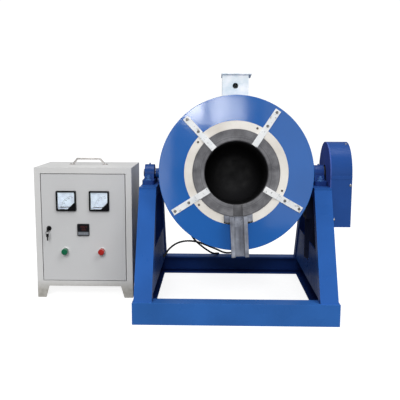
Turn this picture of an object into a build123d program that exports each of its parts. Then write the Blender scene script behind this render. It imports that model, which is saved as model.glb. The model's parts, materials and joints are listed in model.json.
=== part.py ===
from build123d import *
import os
from math import acos, atan2, cos, pi, radians, sin, sqrt, tan

os.makedirs("parts", exist_ok=True)

# Tilting electric furnace for melting gold, with its free-standing control cabinet.
# Millimetres, +Z up, front to -Y. The origin lies on the floor, in the middle of the whole set
# from side to side and in the middle of the furnace stand from front to back.

# ---------------------------------------------------------------- stand
base_depth = 758        # front face of the front beam to rear face of the rear beam
drum_side_gap = 18      # drum to the legs at each side
leg_w = 65              # width of a leg, seen from the front
channel_h = 80          # base channels
channel_b = 58
channel_web = 6
channel_flange = 7
beam_overhang = 5       # beams reach past the legs by this much at each side
leg_setback = 8         # foot of a leg behind the outer face of its beam
leg_section = 40        # depth of the leg channel, square to its web
leg_wall = 5
seat_l = 330            # plate on top of a pair of legs, under the bearing
seat_t = 8
seat_rib_h = 32         # bars that stiffen the plate between the legs
bolt_pitch = 121        # bearing bolts
bolt_r = 6
bolt_hole_r = 6.6
nut_h = 10
nut_r = 10.4            # across the corners
washer_t = 2.5
washer_r = 12
bolt_end = 6            # thread past the upper nut

# ---------------------------------------------------------------- bearings and trunnions
axis_z = 505            # trunnion axis above the floor
bearing_h = 38          # bearing centre above its seat
foot_l = 165
foot_w = 48
foot_t = 17
foot_in = 2             # bearing's foot inside the outer edge of its seat
housing_r = 36
housing_w = 38
neck_half = 46
insert_r = 29           # outer edge of the shallow recess round the bearing's seal
seal_r = 25
insert_recess = 2
nipple_r = 4
nipple_h = 7
nipple_in = 1           # nipple's foot inside the housing
inner_ring_r = 20
inner_ring_w = 42
running_fit = 0.05      # radial clearance of every turning or sliding fit
press_gap = 0.02
shaft_r = 15
stub_r = 19.5
hub_r = 60
hub_reach = 12          # hub plate stands this far off the drum's side
hub_saddle = 15         # and reaches this far round it
shaft_stickout = 4      # left shaft past its inner ring

# ---------------------------------------------------------------- tilting gears
gear_module = 4
gear_teeth = 50
pinion_teeth = 15
pressure_angle = 20
backlash = 0.3
gear_tip_cut = 0.4      # shortens the gear's teeth so that they clear the pinion's flanks
gear_face_w = 26
pinion_face_w = 32
gear_hub_r = 32
gear_hub_gap = 1.5      # between the right bearing's foot and the gear's hub
gear_hub_proud = 8      # hub past the gear's outer face
gear_start = 23         # gear face behind the guard's back plate
gear_web_t = 10
gear_rim_t = 9
lightening_r = 17
lightening_pcd_r = 60
pinion_shaft_r = 10
pinion_hub_r = 18
pinion_hub_gap = 2
pinion_shaft_proud = 3

# ---------------------------------------------------------------- gear guard
guard_r = 130
guard_drop = 193        # flat bottom below the trunnion axis
guard_w = 80
guard_sheet = 2
guard_plate_t = 4
hub_hole_gap = 5
boss_gap = 2

# ---------------------------------------------------------------- worm gearbox and motor
gearbox_w = 74
gearbox_l = 90
gearbox_h = 100
gearbox_round = 12
output_boss_r = 24
output_bore_l = 60      # how far the pinion's shaft reaches into the gearbox
end_cover_r = 37
end_cover_groove_w = 6
end_cover_groove = 3
motor_r = 35
motor_body_r = 31
motor_l = 165
motor_flange_t = 10
motor_fins = 20
fin_t = 2
fan_cover_l = 32
fan_cover_round = 6

# ---------------------------------------------------------------- drum
rest_tilt = 6.5         # mouth above level in the rest pose
drum_r = 282
drum_half = 260
shell_t = 3
plate_t = 6
plate_round = 1.5       # edge of both end plates
seat_gap = 0.3          # between pieces that sit in or on each other inside the drum
ring_outer_r = 189
ring_inner_r = 159.6
ring_depth = 45
lining_inner_r = 176
lining_outer_r = 205
back_wall_t = 63        # fibre behind the heated chamber

# ---------------------------------------------------------------- crucible and spout
rim_r = 159
rim_depth = 60
rim_proud = 3           # rim face in front of the drum's front plate
body_r = 142
bore_r = 116
wall_foot = 40          # thickness of the crucible's floor
crucible_l = 380
foot_round = 45
hollow_round = 60
lip = 3                 # bevel round the bore and the rim
spout_turn = 3          # crucible and spout are set this many degrees round
groove_w = 35
groove_depth = 20       # pouring notch below the rim face
spout_w = 62
spout_proud = 45        # spout face in front of the front plate
spout_floor_t = 11      # spout under its groove
spout_reach = 302       # spout end below the drum axis
spout_root_r = 140      # the spout starts under the crucible's rim, inside the ring's bore
spout_step = 6          # level stretch of the spout's groove past the rim, and past the ring
head_w = 104
head_drop = 178         # head's lower edge below the drum axis
head_proud = 10
head_depth = 24
head_bevel = 7

# ---------------------------------------------------------------- straps
strap_angles = (56.5, 133, 212.5, 330.5)
strap_w = 23
strap_t = 3
strap_inner_end = 161
strap_outer_end = 272
clip_outer_end = 172
clip_inner_end = 117
strap_screw_radii = (203, 262)
screw_r = 3
screw_head_r = 5
screw_head_h = 3
screw_head_taper = 12   # degrees
shank_gap = 0.1
pin_hole_r = 2.5
pin_hole_turn = 8.5
pin_hole_pcd_r = 178
pin_hole_depth = 8

# ---------------------------------------------------------------- heating element
element_r = 175.7
element_t = 3
element_w = 14
element_turns = 9
element_pitch = 40
element_start = 20      # first turn in front of the back wall
element_gap = 24        # slit in each turn, at the top
terminal_r = 6
terminal_angles = (220, 320)
terminal_hole_r = 14
terminal_out = 30       # terminal end behind the back plate
terminal_nut_r = 10
terminal_nut_h = 8

# ---------------------------------------------------------------- boxes on the drum
box_w = 102
box_l = 80
box_place = 60          # box middle in front of the trunnion axis
box_top = 381           # above the drum axis
box_foot = 268          # the box's walls are cut to the drum's curve from here up
box_floor = 292
box_sheet = 3
cover_w = 116
cover_l = 92
cover_t = 4
cover_shift = 4
cover_round = 4
cover_screw_in = 9      # cover screws from the box's walls
cover_screw_r = 4
cover_screw_h = 2.5
box_hole_r = 11
box_hole_drop = 43
rear_cover_w = 370
rear_cover_h = 90
rear_cover_y = -112
rear_cover_depth = 46
rear_cover_sheet = 2
rear_cover_round = 6
lead_gland_x = -172
gland_l = 24
gland_r = 9
gland_nut_r = 7.8
gland_round = 3

# ---------------------------------------------------------------- control cabinet
cabinet_w = 388
cabinet_d = 263
cabinet_h = 483         # box without its feet
feet_h = 48
cabinet_gap = 37        # to the end of the stand's beams
cabinet_setback = 312   # behind the stand's front face
sheet = 2
opening_in = 24         # door opening inside the box's sides
opening_h = 438
opening_bottom = 22     # above the bottom of the box
lip_depth = 15
door_gap = 3
door_depth = 18
hinge_in = 6            # hinge pin inside the door's edge
hinge_back = 6          # hinge pin behind the door's face
hinge_pin_r = 2.5
hinge_pin_l = 12
foot_top_w = 48
foot_bottom_w = 34
foot_side_w = 44
foot_side_bottom_w = 30
meter_size = 80
meter_proud = 11
meter_window = 68
meter_cut = 28          # corner cut off the window, over the needle's pivot
meter_back_t = 3
meter_cover_t = 2
meter_barrel_r = 26
meter_barrel_l = 30
meter_round = 4
meter_x = (127, 259)
meter_z = 399
pivot_in = 25           # needle pivot from the meter's middle, right and down
pivot_r = 1.2
pivot_short = 1         # pin ends this far behind the window's frame
dial_t = 0.9
dial_gap = 0.3
needle_l = 50
needle_w = 3.2
needle_tip_w = 0.8
needle_tail = 7
needle_t = 0.9
needle_rise = 2         # needle in front of the meter's back
needle_hub_r = 4
needle_hub_back = 1.5
needle_hub_t = 2.5
window_t = 1.4
window_gap = 0.2
window_rise = 0.1
controller_size = 48
controller_proud = 7
controller_body = 44.5
controller_body_l = 75
controller_round = 3
display_top = 5         # display below the controller's upper edge
display_recess = 1.2
controller_x = 193
controller_z = 282
display_w = 38
display_h = 24
button_x = (120, 267)
button_z = 196
bezel_r = 14.5
bezel_t = 7
bezel_taper = 14        # degrees
button_barrel_r = 11
button_barrel_l = 38
button_stem_r = 8
button_stem_l = 12      # stem behind the door's face
button_cap_r = 12.2
button_reach = 32       # cap face in front of the door
button_travel = 3
button_gap = 0.4        # between cap and bezel when pressed
cap_round = 3
lock_x = 54
lock_z = 286
lock_r = 10.5
lock_proud = 6
lock_taper = 15         # degrees
lock_barrel_r = 9
lock_barrel_l = 20
plug_r = 6
cam_l = 26
cam_w = 9
cam_t = 3
cam_gap = 0.4
keyway_h = 8
keyway_l = 10           # keyway behind the door's face
key_t = 2.2
key_gap = 0.1
key_short = 0.5         # blade's end before the keyway's
bow_w = 21
bow_start = 12
bow_l = 21
bow_round = 6
ring_hole_in = 6        # ring hole from the end of the bow
ring_hole_drop = 5
ring_hole_r = 2.6
ring_r = 7
ring_wire_r = 0.7
spare_bow_w = 10
spare_bow_l = 14
spare_bow_top = 2.6     # bow above the middle of its ring hole
spare_bow_round = 3
spare_blade_w = 5
spare_blade_l = 14
cutout_gap = 0.4        # round whatever passes through the door
handle_span = 124
handle_bar = 95
handle_rise = 25
handle_shank = 7        # upright foot of the rod
handle_bend = 6
handle_rod_r = 4
handle_tab_l = 20
handle_tab_w = 13
handle_tab_t = 2.5
handle_tab_in = 2       # tab's end inside the rod's middle
handle_tab_round = 3
mount_plate_in = 44     # mounting plate inside the box's sides
mount_plate_h = 400
mount_plate_t = 2
mount_plate_round = 6
standoff = 12
standoff_r = 5
stud_in = 15            # studs from the mounting plate's edges
supply_gland_in = 232   # behind the cabinet's face
supply_gland_z = 110
device_z = 330
regulator_x = 130
regulator_w = 120
regulator_h = 150
regulator_base = 12
regulator_fins = 9
regulator_fin_pitch = 14
regulator_fin_l = 32
regulator_fin_t = 3
thyristor_h = 100
thyristor_t = 26
contactor_x = 265
contactor_w = 60
contactor_h = 86
contactor_t = 48
contactor_head_h = 50
contactor_head_t = 34
cable_r = 4

# ---------------------------------------------------------------- worked out
inner_w = 2 * (drum_r + drum_side_gap)     # clear width between the left and right legs
leg_mid = inner_w / 2 + leg_w / 2
leg_outer = inner_w / 2 + leg_w
bearing_mid = leg_outer - foot_in - foot_w / 2
beam_l = 2 * (leg_outer + beam_overhang)
overall_w = cabinet_w + cabinet_gap + beam_overhang + 2 * leg_outer + guard_plate_t + guard_w
furnace_x = overall_w / 2 - guard_w - guard_plate_t - leg_outer
cabinet_left = -overall_w / 2
opening_w = cabinet_w - 2 * opening_in
mount_plate_w = cabinet_w - 2 * mount_plate_in
cabinet_front = cabinet_setback - base_depth / 2
seat_top = axis_z - bearing_h
leg_top = seat_top - seat_t
lean = atan2(base_depth / 2 - leg_setback - seat_l / 2, leg_top - channel_h)
leg_depth = leg_section / cos(lean)
leg_web_depth = leg_wall / cos(lean)
seat_rib_l = seat_l - 2 * (leg_depth + seat_gap)
guard_x = leg_outer + guard_plate_t
pitch_sum = gear_module * (gear_teeth + pinion_teeth) / 2
pinion_z = axis_z - pitch_sum
ring_seat = drum_half - ring_depth
chamber_back = -drum_half + plate_t + back_wall_t
rim_face = drum_half + rim_proud
crucible_back = rim_face - crucible_l

# Frames that turn with the drum: the face frame looks out of the mouth, the section frame holds
# the drum's axis, with the radius along its x and the way to the mouth along its y.
drum_frame = Plane(
    origin=(furnace_x, 0, axis_z),
    x_dir=(1, 0, 0),
    z_dir=(0, -cos(radians(rest_tilt)), sin(radians(rest_tilt))),
)
drum_axis = Axis(drum_frame.origin, drum_frame.z_dir)
drum_section = Plane(origin=drum_frame.origin, x_dir=drum_frame.x_dir, z_dir=-drum_frame.y_dir)
drum_top = Plane(origin=drum_frame.origin, x_dir=drum_frame.x_dir, z_dir=drum_frame.y_dir)
spout_frame = Plane(
    origin=drum_frame.origin,
    x_dir=drum_frame.x_dir * cos(radians(spout_turn)) + drum_frame.y_dir * sin(radians(spout_turn)),
    z_dir=drum_frame.z_dir,
)
spout_side = Plane(
    origin=drum_frame.origin, x_dir=-spout_frame.y_dir, z_dir=-spout_frame.x_dir
)
# The cabinet's face, with x from its left edge and y up from the floor.
panel = Plane(origin=(cabinet_left, cabinet_front, 0), x_dir=(1, 0, 0), z_dir=(0, -1, 0))


def keep(builder, label):
    """Name a finished piece and write it out."""
    builder.part.label = label
    export_step(builder.part, f"parts/{label}.step")


def side_plane(x):
    """Plane square to the trunnion axis, x to the right of the furnace's middle."""
    return Plane.YZ.offset(furnace_x + x)


# ================================================================ stand
def channel_section(outer, side):
    """Channel standing on the floor, its web at outer and its flanges pointing to the middle."""
    with Locations((outer - side * channel_b / 2, channel_h / 2)):
        Rectangle(channel_b, channel_h)
    with Locations((outer - side * (channel_b + channel_web) / 2, channel_h / 2)):
        Rectangle(channel_b - channel_web, channel_h - 2 * channel_flange, mode=Mode.SUBTRACT)


def base_beam(side):
    """Front (side -1) or rear (side 1) channel of the base, closed at both ends."""
    with BuildPart() as beam:
        with BuildSketch(side_plane(0)):
            channel_section(side * base_depth / 2, side)
        extrude(amount=beam_l / 2, both=True)
        for end in (-1, 1):
            with BuildSketch(side_plane(end * (beam_l - channel_web) / 2)):
                with Locations((side * (base_depth - channel_b) / 2, channel_h / 2)):
                    Rectangle(channel_b, channel_h)
            extrude(amount=channel_web / 2, both=True)
    return beam


def leg_pair(side):
    """Left and right channel legs, leaning in from the front (-1) or rear (1) beam."""
    foot = side * (base_depth / 2 - leg_setback)
    top = side * seat_l / 2
    back = side * leg_depth
    web = side * leg_web_depth
    with BuildPart() as legs:
        for x in (-leg_mid, leg_mid):
            with BuildSketch(side_plane(x)):
                Polygon((foot, channel_h), (top, leg_top), (top - back, leg_top),
                        (foot - back, channel_h), align=None)
            extrude(amount=leg_w / 2, both=True)
            with BuildSketch(side_plane(x)):
                Polygon((foot - web, channel_h), (top - web, leg_top),
                        (top - web - back, leg_top), (foot - web - back, channel_h), align=None)
            extrude(amount=leg_w / 2 - leg_wall, both=True, mode=Mode.SUBTRACT)
    return legs


keep(base_beam(-1), "front_beam")
keep(base_beam(1), "rear_beam")
keep(leg_pair(-1), "front_legs")
keep(leg_pair(1), "rear_legs")

with BuildPart() as side_rails:
    for side in (-1, 1):
        with BuildSketch(Plane.XZ):
            channel_section(furnace_x + side * leg_outer, side)
        extrude(amount=base_depth / 2 - channel_b, both=True)
keep(side_rails, "side_rails")

bolt_places = [
    (furnace_x + x, y, seat_top)
    for x in (-bearing_mid, bearing_mid)
    for y in (-bolt_pitch / 2, bolt_pitch / 2)
]

with BuildPart() as bearing_seats:
    with Locations((furnace_x - leg_mid, 0, seat_top), (furnace_x + leg_mid, 0, seat_top)):
        Box(leg_w, seat_l, seat_t, align=(Align.CENTER, Align.CENTER, Align.MAX))
    with Locations((furnace_x - leg_mid, 0, leg_top), (furnace_x + leg_mid, 0, leg_top)):
        Box(leg_w, seat_rib_l, seat_rib_h, align=(Align.CENTER, Align.CENTER, Align.MAX))
        Box(leg_w - 2 * leg_wall, seat_rib_l, seat_rib_h,
            align=(Align.CENTER, Align.CENTER, Align.MAX), mode=Mode.SUBTRACT)
    with Locations(*bolt_places):
        Hole(bolt_hole_r)
keep(bearing_seats, "bearing_seats")


# ================================================================ bearings
def bearing_housing(x):
    """Cast pillow block with its outer ring, and a grease nipple on top."""
    with BuildPart() as housing:
        with BuildSketch(side_plane(x)):
            with Locations((0, seat_top)):
                Rectangle(foot_l, foot_t, align=(Align.CENTER, Align.MIN))
        extrude(amount=foot_w / 2, both=True)
        fillet(housing.edges().filter_by(Axis.Z), foot_w / 5)
        with BuildSketch(side_plane(x)):
            with Locations((0, axis_z)):
                Circle(housing_r)
            Polygon((-neck_half, seat_top + foot_t), (neck_half, seat_top + foot_t),
                    (housing_r, axis_z), (-housing_r, axis_z), align=None)
        extrude(amount=housing_w / 2, both=True)
        for face in (-1, 1):
            with BuildSketch(side_plane(x + face * housing_w / 2)):
                with Locations((0, axis_z)):
                    Circle(insert_r)
                    Circle(seal_r, mode=Mode.SUBTRACT)
            extrude(amount=-face * insert_recess, mode=Mode.SUBTRACT)
        with BuildSketch(side_plane(x)):
            with Locations((0, axis_z)):
                Circle(inner_ring_r + running_fit)
        extrude(amount=foot_w, both=True, mode=Mode.SUBTRACT)
        with Locations((furnace_x + x, 0, axis_z + housing_r - nipple_in)):
            Cone(nipple_r, nipple_r / 2, nipple_h, align=(Align.CENTER, Align.CENTER, Align.MIN))
        with Locations((furnace_x + x, -bolt_pitch / 2, seat_top + foot_t),
                       (furnace_x + x, bolt_pitch / 2, seat_top + foot_t)):
            Hole(bolt_hole_r, foot_t)
    return housing


keep(bearing_housing(-bearing_mid), "left_bearing_housing")
keep(bearing_housing(bearing_mid), "right_bearing_housing")

with BuildPart() as bearing_inner_rings:
    for x in (-bearing_mid, bearing_mid):
        with BuildSketch(side_plane(x)):
            with Locations((0, axis_z)):
                Circle(inner_ring_r)
                Circle(shaft_r + press_gap, mode=Mode.SUBTRACT)
        extrude(amount=inner_ring_w / 2, both=True)
keep(bearing_inner_rings, "bearing_inner_rings")


# ================================================================ trunnions
def trunnion(side, end):
    """Hub saddled round the drum's side, stub, and shaft out to x = end."""
    shoulder = bearing_mid - inner_ring_w / 2
    hub_out = drum_r + hub_reach
    with BuildPart() as stub:
        with BuildSketch(side_plane(side * (drum_r - hub_saddle))):
            with Locations((0, axis_z)):
                Circle(hub_r)
        extrude(amount=side * (hub_reach + hub_saddle))
        with BuildSketch(side_plane(side * hub_out)):
            with Locations((0, axis_z)):
                Circle(stub_r)
        extrude(amount=side * (shoulder - hub_out))
        with BuildSketch(side_plane(side * shoulder)):
            with Locations((0, axis_z)):
                Circle(shaft_r)
        extrude(amount=side * (end - shoulder))
        with BuildSketch(drum_frame):
            Circle(drum_r + seat_gap)
        extrude(amount=drum_half, both=True, mode=Mode.SUBTRACT)
    return stub


gear_x = guard_x + gear_start
gear_hub_x = bearing_mid + foot_w / 2 + gear_hub_gap
gear_hub_end = gear_x + gear_face_w + gear_hub_proud
keep(trunnion(-1, bearing_mid + inner_ring_w / 2 + shaft_stickout), "left_trunnion")
keep(trunnion(1, gear_hub_end + shaft_stickout), "right_trunnion")


# ================================================================ tilting gears
def involute_angle(base, radius):
    """Angle that an involute has turned through where it reaches a radius."""
    pressure = acos(base / radius)
    return tan(pressure) - pressure


def gear_sketch(teeth, tip, turn):
    """Spur gear outline with involute flanks; the first tooth points turn degrees round."""
    pitch = gear_module * teeth / 2
    base = pitch * cos(radians(pressure_angle))
    root = pitch - 1.25 * gear_module
    start = max(base, root)
    half = (pi * gear_module / 2 - backlash) / 2 / pitch + involute_angle(base, pitch)
    radii = [start + (tip - start) * step / 4 for step in range(5)]
    flank = [(r * cos(half - involute_angle(base, r)), r * sin(half - involute_angle(base, r))) for r in radii]
    mirrored = [(x, -y) for x, y in flank]
    foot = (0.9 * root, flank[0][1] * root / start)
    with BuildSketch() as tooth:
        with BuildLine():
            Polyline((foot[0], -foot[1]), mirrored[0])
            Spline(*mirrored)
            ThreePointArc(mirrored[-1], (tip, 0), flank[-1])
            Spline(*flank[::-1])
            Polyline(flank[0], foot, (foot[0], -foot[1]))
        make_face()
    with BuildSketch() as outline:
        Circle(root)
        with PolarLocations(0, teeth, start_angle=turn):
            add(tooth.sketch)
    return outline.sketch


gear_tip = gear_module * (gear_teeth / 2 + 1) - gear_tip_cut
gear_root = gear_module * (gear_teeth / 2 - 1.25)
pinion_tip = gear_module * (pinion_teeth / 2 + 1)

with BuildPart() as drive_gear:
    with BuildSketch(side_plane(gear_x)):
        with Locations((0, axis_z)):
            add(gear_sketch(gear_teeth, gear_tip, -90))
    extrude(amount=gear_face_w)
    for face in (0, 1):     # the web is thinner than the rim and the hub
        with BuildSketch(side_plane(gear_x + face * gear_face_w)):
            with Locations((0, axis_z)):
                Circle(gear_root - gear_rim_t)
        depth = (gear_face_w - gear_web_t) / 2
        extrude(amount=-depth if face else depth, mode=Mode.SUBTRACT)
    with BuildSketch(side_plane(gear_x)):
        with Locations((0, axis_z)):
            with PolarLocations(lightening_pcd_r, 5):
                Circle(lightening_r)
    extrude(amount=gear_face_w, mode=Mode.SUBTRACT)
    with BuildSketch(side_plane(gear_hub_x)):
        with Locations((0, axis_z)):
            Circle(gear_hub_r)
    extrude(amount=gear_hub_end - gear_hub_x)
    with BuildSketch(side_plane(gear_hub_x)):
        with Locations((0, axis_z)):
            Circle(shaft_r + press_gap)
    extrude(amount=gear_hub_end - gear_hub_x, mode=Mode.SUBTRACT)
keep(drive_gear, "drive_gear")

pinion_x = gear_x + (gear_face_w - pinion_face_w) / 2
with BuildPart() as drive_pinion:
    with BuildSketch(side_plane(pinion_x)):
        with Locations((0, pinion_z)):
            add(gear_sketch(pinion_teeth, pinion_tip, 90 + 180 / pinion_teeth))
    extrude(amount=pinion_face_w)
    with BuildSketch(side_plane(guard_x + pinion_hub_gap)):
        with Locations((0, pinion_z)):
            Circle(pinion_hub_r)
    extrude(amount=pinion_x - guard_x - pinion_hub_gap)
    with BuildSketch(side_plane(leg_outer - output_bore_l)):
        with Locations((0, pinion_z)):
            Circle(pinion_shaft_r)
    extrude(amount=output_bore_l + pinion_x + pinion_face_w + pinion_shaft_proud - leg_outer)
keep(drive_pinion, "drive_pinion")


# ================================================================ gear guard
def guard_outline(inset):
    """Half-round top about the trunnion axis with a straight-sided skirt down to a flat bottom."""
    with Locations((0, axis_z)):
        Circle(guard_r - inset)
        Rectangle(2 * (guard_r - inset), guard_drop - inset, align=(Align.CENTER, Align.MAX))


def guard_half(upper):
    """One half of the casing; the two halves part at the height of the shaft."""
    with BuildPart() as half:
        with BuildSketch(side_plane(guard_x)):
            guard_outline(0)
        extrude(amount=guard_w)
        with BuildSketch(side_plane(guard_x)):
            guard_outline(guard_sheet)
        extrude(amount=guard_w - guard_sheet, mode=Mode.SUBTRACT)
        split(bisect_by=Plane.XY.offset(axis_z), keep=Keep.TOP if upper else Keep.BOTTOM)
    return half


keep(guard_half(True), "gear_guard_upper")
keep(guard_half(False), "gear_guard_lower")

with BuildPart() as guard_back_plate:
    with BuildSketch(side_plane(leg_outer)):
        guard_outline(0)
        with Locations((0, axis_z)):
            Circle(gear_hub_r + hub_hole_gap, mode=Mode.SUBTRACT)
        with Locations((0, pinion_z)):
            Circle(output_boss_r + boss_gap, mode=Mode.SUBTRACT)
    extrude(amount=guard_plate_t)
keep(guard_back_plate, "guard_back_plate")

# ================================================================ worm gearbox and motor
gearbox_mid = leg_outer - gearbox_w / 2
motor_top = pinion_z - gearbox_h / 2
with BuildPart() as worm_gearbox:
    with Locations((furnace_x + gearbox_mid, 0, pinion_z)):
        Box(gearbox_w, gearbox_l, gearbox_h)
    fillet(worm_gearbox.edges().filter_by(Axis.X), gearbox_round)
    with BuildSketch(side_plane(leg_outer)):
        with Locations((0, pinion_z)):
            Circle(output_boss_r)
    extrude(amount=guard_plate_t)
    with BuildSketch(side_plane(leg_outer - gearbox_w)):
        with Locations((0, pinion_z)):
            Circle(end_cover_r)
            Circle(end_cover_r - end_cover_groove_w, mode=Mode.SUBTRACT)
    extrude(amount=end_cover_groove, mode=Mode.SUBTRACT)
    with BuildSketch(side_plane(guard_x)):
        with Locations((0, pinion_z)):
            Circle(pinion_shaft_r + running_fit)
    extrude(amount=leg_outer - output_bore_l - seat_gap - guard_x, mode=Mode.SUBTRACT)
keep(worm_gearbox, "worm_gearbox")

with BuildPart() as tilt_motor:
    with Locations((furnace_x + gearbox_mid, 0, motor_top)):
        Cylinder(motor_r, motor_flange_t, align=(Align.CENTER, Align.CENTER, Align.MAX))
        Cylinder(motor_body_r, motor_l - fan_cover_l, align=(Align.CENTER, Align.CENTER, Align.MAX))
    with Locations((furnace_x + gearbox_mid, 0, motor_top - motor_l + fan_cover_l)):
        Cylinder(motor_r, fan_cover_l, align=(Align.CENTER, Align.CENTER, Align.MAX))
    fillet(tilt_motor.faces().sort_by(Axis.Z)[0].edges(), fan_cover_round)
    with BuildSketch(Plane.XY.offset(motor_top - motor_flange_t)):
        with Locations((furnace_x + gearbox_mid, 0)):
            with PolarLocations(motor_body_r, motor_fins):
                Rectangle(2 * (motor_r - motor_body_r), fin_t)
    extrude(amount=-(motor_l - fan_cover_l - motor_flange_t))
keep(tilt_motor, "tilt_motor")


# ================================================================ drum casing
def tube(plane, outer, inner, length):
    """Round tube or disc, grown from a plane."""
    with BuildPart() as body:
        with BuildSketch(plane):
            Circle(outer)
            if inner:
                Circle(inner, mode=Mode.SUBTRACT)
        extrude(amount=length)
    return body


terminal_pcd_r = element_r - element_t / 2
terminal_spots = [
    (terminal_pcd_r * cos(radians(a)), terminal_pcd_r * sin(radians(a))) for a in terminal_angles
]
strap_places = [Location((0, 0, 0), (0, 0, angle)) for angle in strap_angles]
screw_spots = [
    (r * cos(radians(a)), r * sin(radians(a))) for a in strap_angles for r in strap_screw_radii
]

keep(tube(drum_frame.offset(-drum_half + plate_t), drum_r, drum_r - shell_t,
          2 * (drum_half - plate_t)), "drum_shell")

with BuildPart() as drum_front_plate:
    with BuildSketch(drum_frame.offset(drum_half - plate_t)):
        Circle(drum_r)
        Circle(ring_outer_r + seat_gap, mode=Mode.SUBTRACT)
        with Locations(*screw_spots):
            Circle(screw_r + shank_gap, mode=Mode.SUBTRACT)
    extrude(amount=plate_t)
    rim_edges = drum_front_plate.edges().filter_by(GeomType.CIRCLE).sort_by(SortBy.RADIUS)[-2:]
    fillet(rim_edges, plate_round)
keep(drum_front_plate, "drum_front_plate")

with BuildPart() as drum_back_plate:
    with BuildSketch(drum_frame.offset(-drum_half)):
        Circle(drum_r)
        with Locations(*terminal_spots):
            Circle(terminal_hole_r, mode=Mode.SUBTRACT)
    extrude(amount=plate_t)
    rim_edges = drum_back_plate.edges().filter_by(GeomType.CIRCLE).sort_by(SortBy.RADIUS)[-2:]
    fillet(rim_edges, plate_round)
keep(drum_back_plate, "drum_back_plate")

# ================================================================ linings
fibre_back = -drum_half + plate_t + seat_gap
with BuildPart() as drum_insulation:
    with BuildSketch(drum_section):
        with BuildLine():
            Polyline(
                (0, fibre_back),
                (drum_r - shell_t - seat_gap, fibre_back),
                (drum_r - shell_t - seat_gap, drum_half - plate_t - seat_gap),
                (ring_outer_r + seat_gap, drum_half - plate_t - seat_gap),
                (ring_outer_r + seat_gap, ring_seat - seat_gap),
                (lining_outer_r + seat_gap, ring_seat - seat_gap),
                (lining_outer_r + seat_gap, chamber_back),
                (0, chamber_back),
                close=True,
            )
        make_face()
    revolve(axis=drum_axis)
    with BuildSketch(drum_frame.offset(fibre_back)):
        with Locations(*terminal_spots):
            Circle(terminal_r + seat_gap)
    extrude(amount=back_wall_t, mode=Mode.SUBTRACT)
keep(drum_insulation, "drum_insulation")

keep(tube(drum_frame.offset(chamber_back + seat_gap), lining_outer_r, lining_inner_r,
          ring_seat - chamber_back - 2 * seat_gap), "furnace_lining")

with BuildPart() as refractory_ring:
    with BuildSketch(drum_frame.offset(ring_seat)):
        Circle(ring_outer_r)
        Circle(ring_inner_r, mode=Mode.SUBTRACT)
    extrude(amount=ring_depth)
    with BuildSketch(spout_frame.offset(drum_half)):    # pocket that the spout's head hangs in
        with Locations((0, -spout_root_r)):
            Rectangle(head_w + 2 * seat_gap, ring_outer_r, align=(Align.CENTER, Align.MAX))
    extrude(amount=-head_depth - seat_gap, mode=Mode.SUBTRACT)
    with BuildSketch(drum_frame.offset(drum_half)):
        for angle in strap_angles:
            with PolarLocations(pin_hole_pcd_r, 1, start_angle=angle + pin_hole_turn):
                Circle(pin_hole_r)
    extrude(amount=-pin_hole_depth, mode=Mode.SUBTRACT)
keep(refractory_ring, "refractory_ring")

# ================================================================ heating element
first_turn = chamber_back + element_start
with BuildPart() as heating_element:
    for turn in range(element_turns):
        with BuildSketch(drum_frame.offset(first_turn + turn * element_pitch)):
            Circle(element_r)
            Circle(element_r - element_t, mode=Mode.SUBTRACT)
            with Locations((0, element_r)):
                Rectangle(element_gap, 4 * element_t, mode=Mode.SUBTRACT)
        extrude(amount=element_w)
    for turn in range(element_turns - 1):    # links run along one side of the slit, then the other
        side = 1 if turn % 2 else -1
        with BuildSketch(drum_frame.offset(first_turn + element_w + turn * element_pitch)):
            Circle(element_r)
            Circle(element_r - element_t, mode=Mode.SUBTRACT)
            with Locations((side * (element_gap / 2 + element_w / 2), element_r)):
                Rectangle(element_w, 6 * element_t, mode=Mode.INTERSECT)
        extrude(amount=element_pitch - element_w)
    with BuildSketch(drum_frame.offset(first_turn)):
        for angle in terminal_angles:
            with PolarLocations(terminal_pcd_r, 1, start_angle=angle):
                Rectangle(element_t, element_w)
    extrude(amount=chamber_back + seat_gap - first_turn)
keep(heating_element, "heating_element")

with BuildPart() as heater_terminals:
    with BuildSketch(drum_frame.offset(-drum_half - terminal_out)):
        with Locations(*terminal_spots):
            Circle(terminal_r)
    extrude(amount=terminal_out + drum_half + chamber_back)
    with BuildSketch(drum_frame.offset(-drum_half - terminal_out + terminal_nut_h)):
        with Locations(*terminal_spots):
            RegularPolygon(terminal_nut_r, 6)
    extrude(amount=terminal_nut_h)
keep(heater_terminals, "heater_terminals")

# ================================================================ crucible
crucible_floor = crucible_back + wall_foot
with BuildPart() as crucible:
    with BuildSketch(drum_section):
        with BuildLine():
            Line((0, crucible_back), (body_r - foot_round, crucible_back))
            JernArc((body_r - foot_round, crucible_back), (1, 0), foot_round, 90)
            Polyline(
                (body_r, crucible_back + foot_round),
                (body_r, rim_face - rim_depth - (rim_r - body_r)),
                (rim_r, rim_face - rim_depth),
                (rim_r, rim_face - lip / 2),
                (rim_r - lip / 2, rim_face),
                (bore_r + lip, rim_face),
                (bore_r, rim_face - lip),
                (bore_r, crucible_floor + hollow_round),
            )
            JernArc((bore_r, crucible_floor + hollow_round), (0, -1), hollow_round, -90)
            Polyline((bore_r - hollow_round, crucible_floor), (0, crucible_floor), (0, crucible_back))
        make_face()
    revolve(axis=drum_axis)
    with BuildSketch(spout_frame.offset(rim_face)):
        with Locations((0, -bore_r / 2)):
            Rectangle(groove_w, rim_r, align=(Align.CENTER, Align.MAX))
    extrude(amount=-groove_depth, mode=Mode.SUBTRACT)
keep(crucible, "crucible")

keep(tube(drum_frame.offset(chamber_back + seat_gap), body_r - foot_round, 0,
          crucible_back - chamber_back - 2 * seat_gap), "crucible_pedestal")

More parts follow.
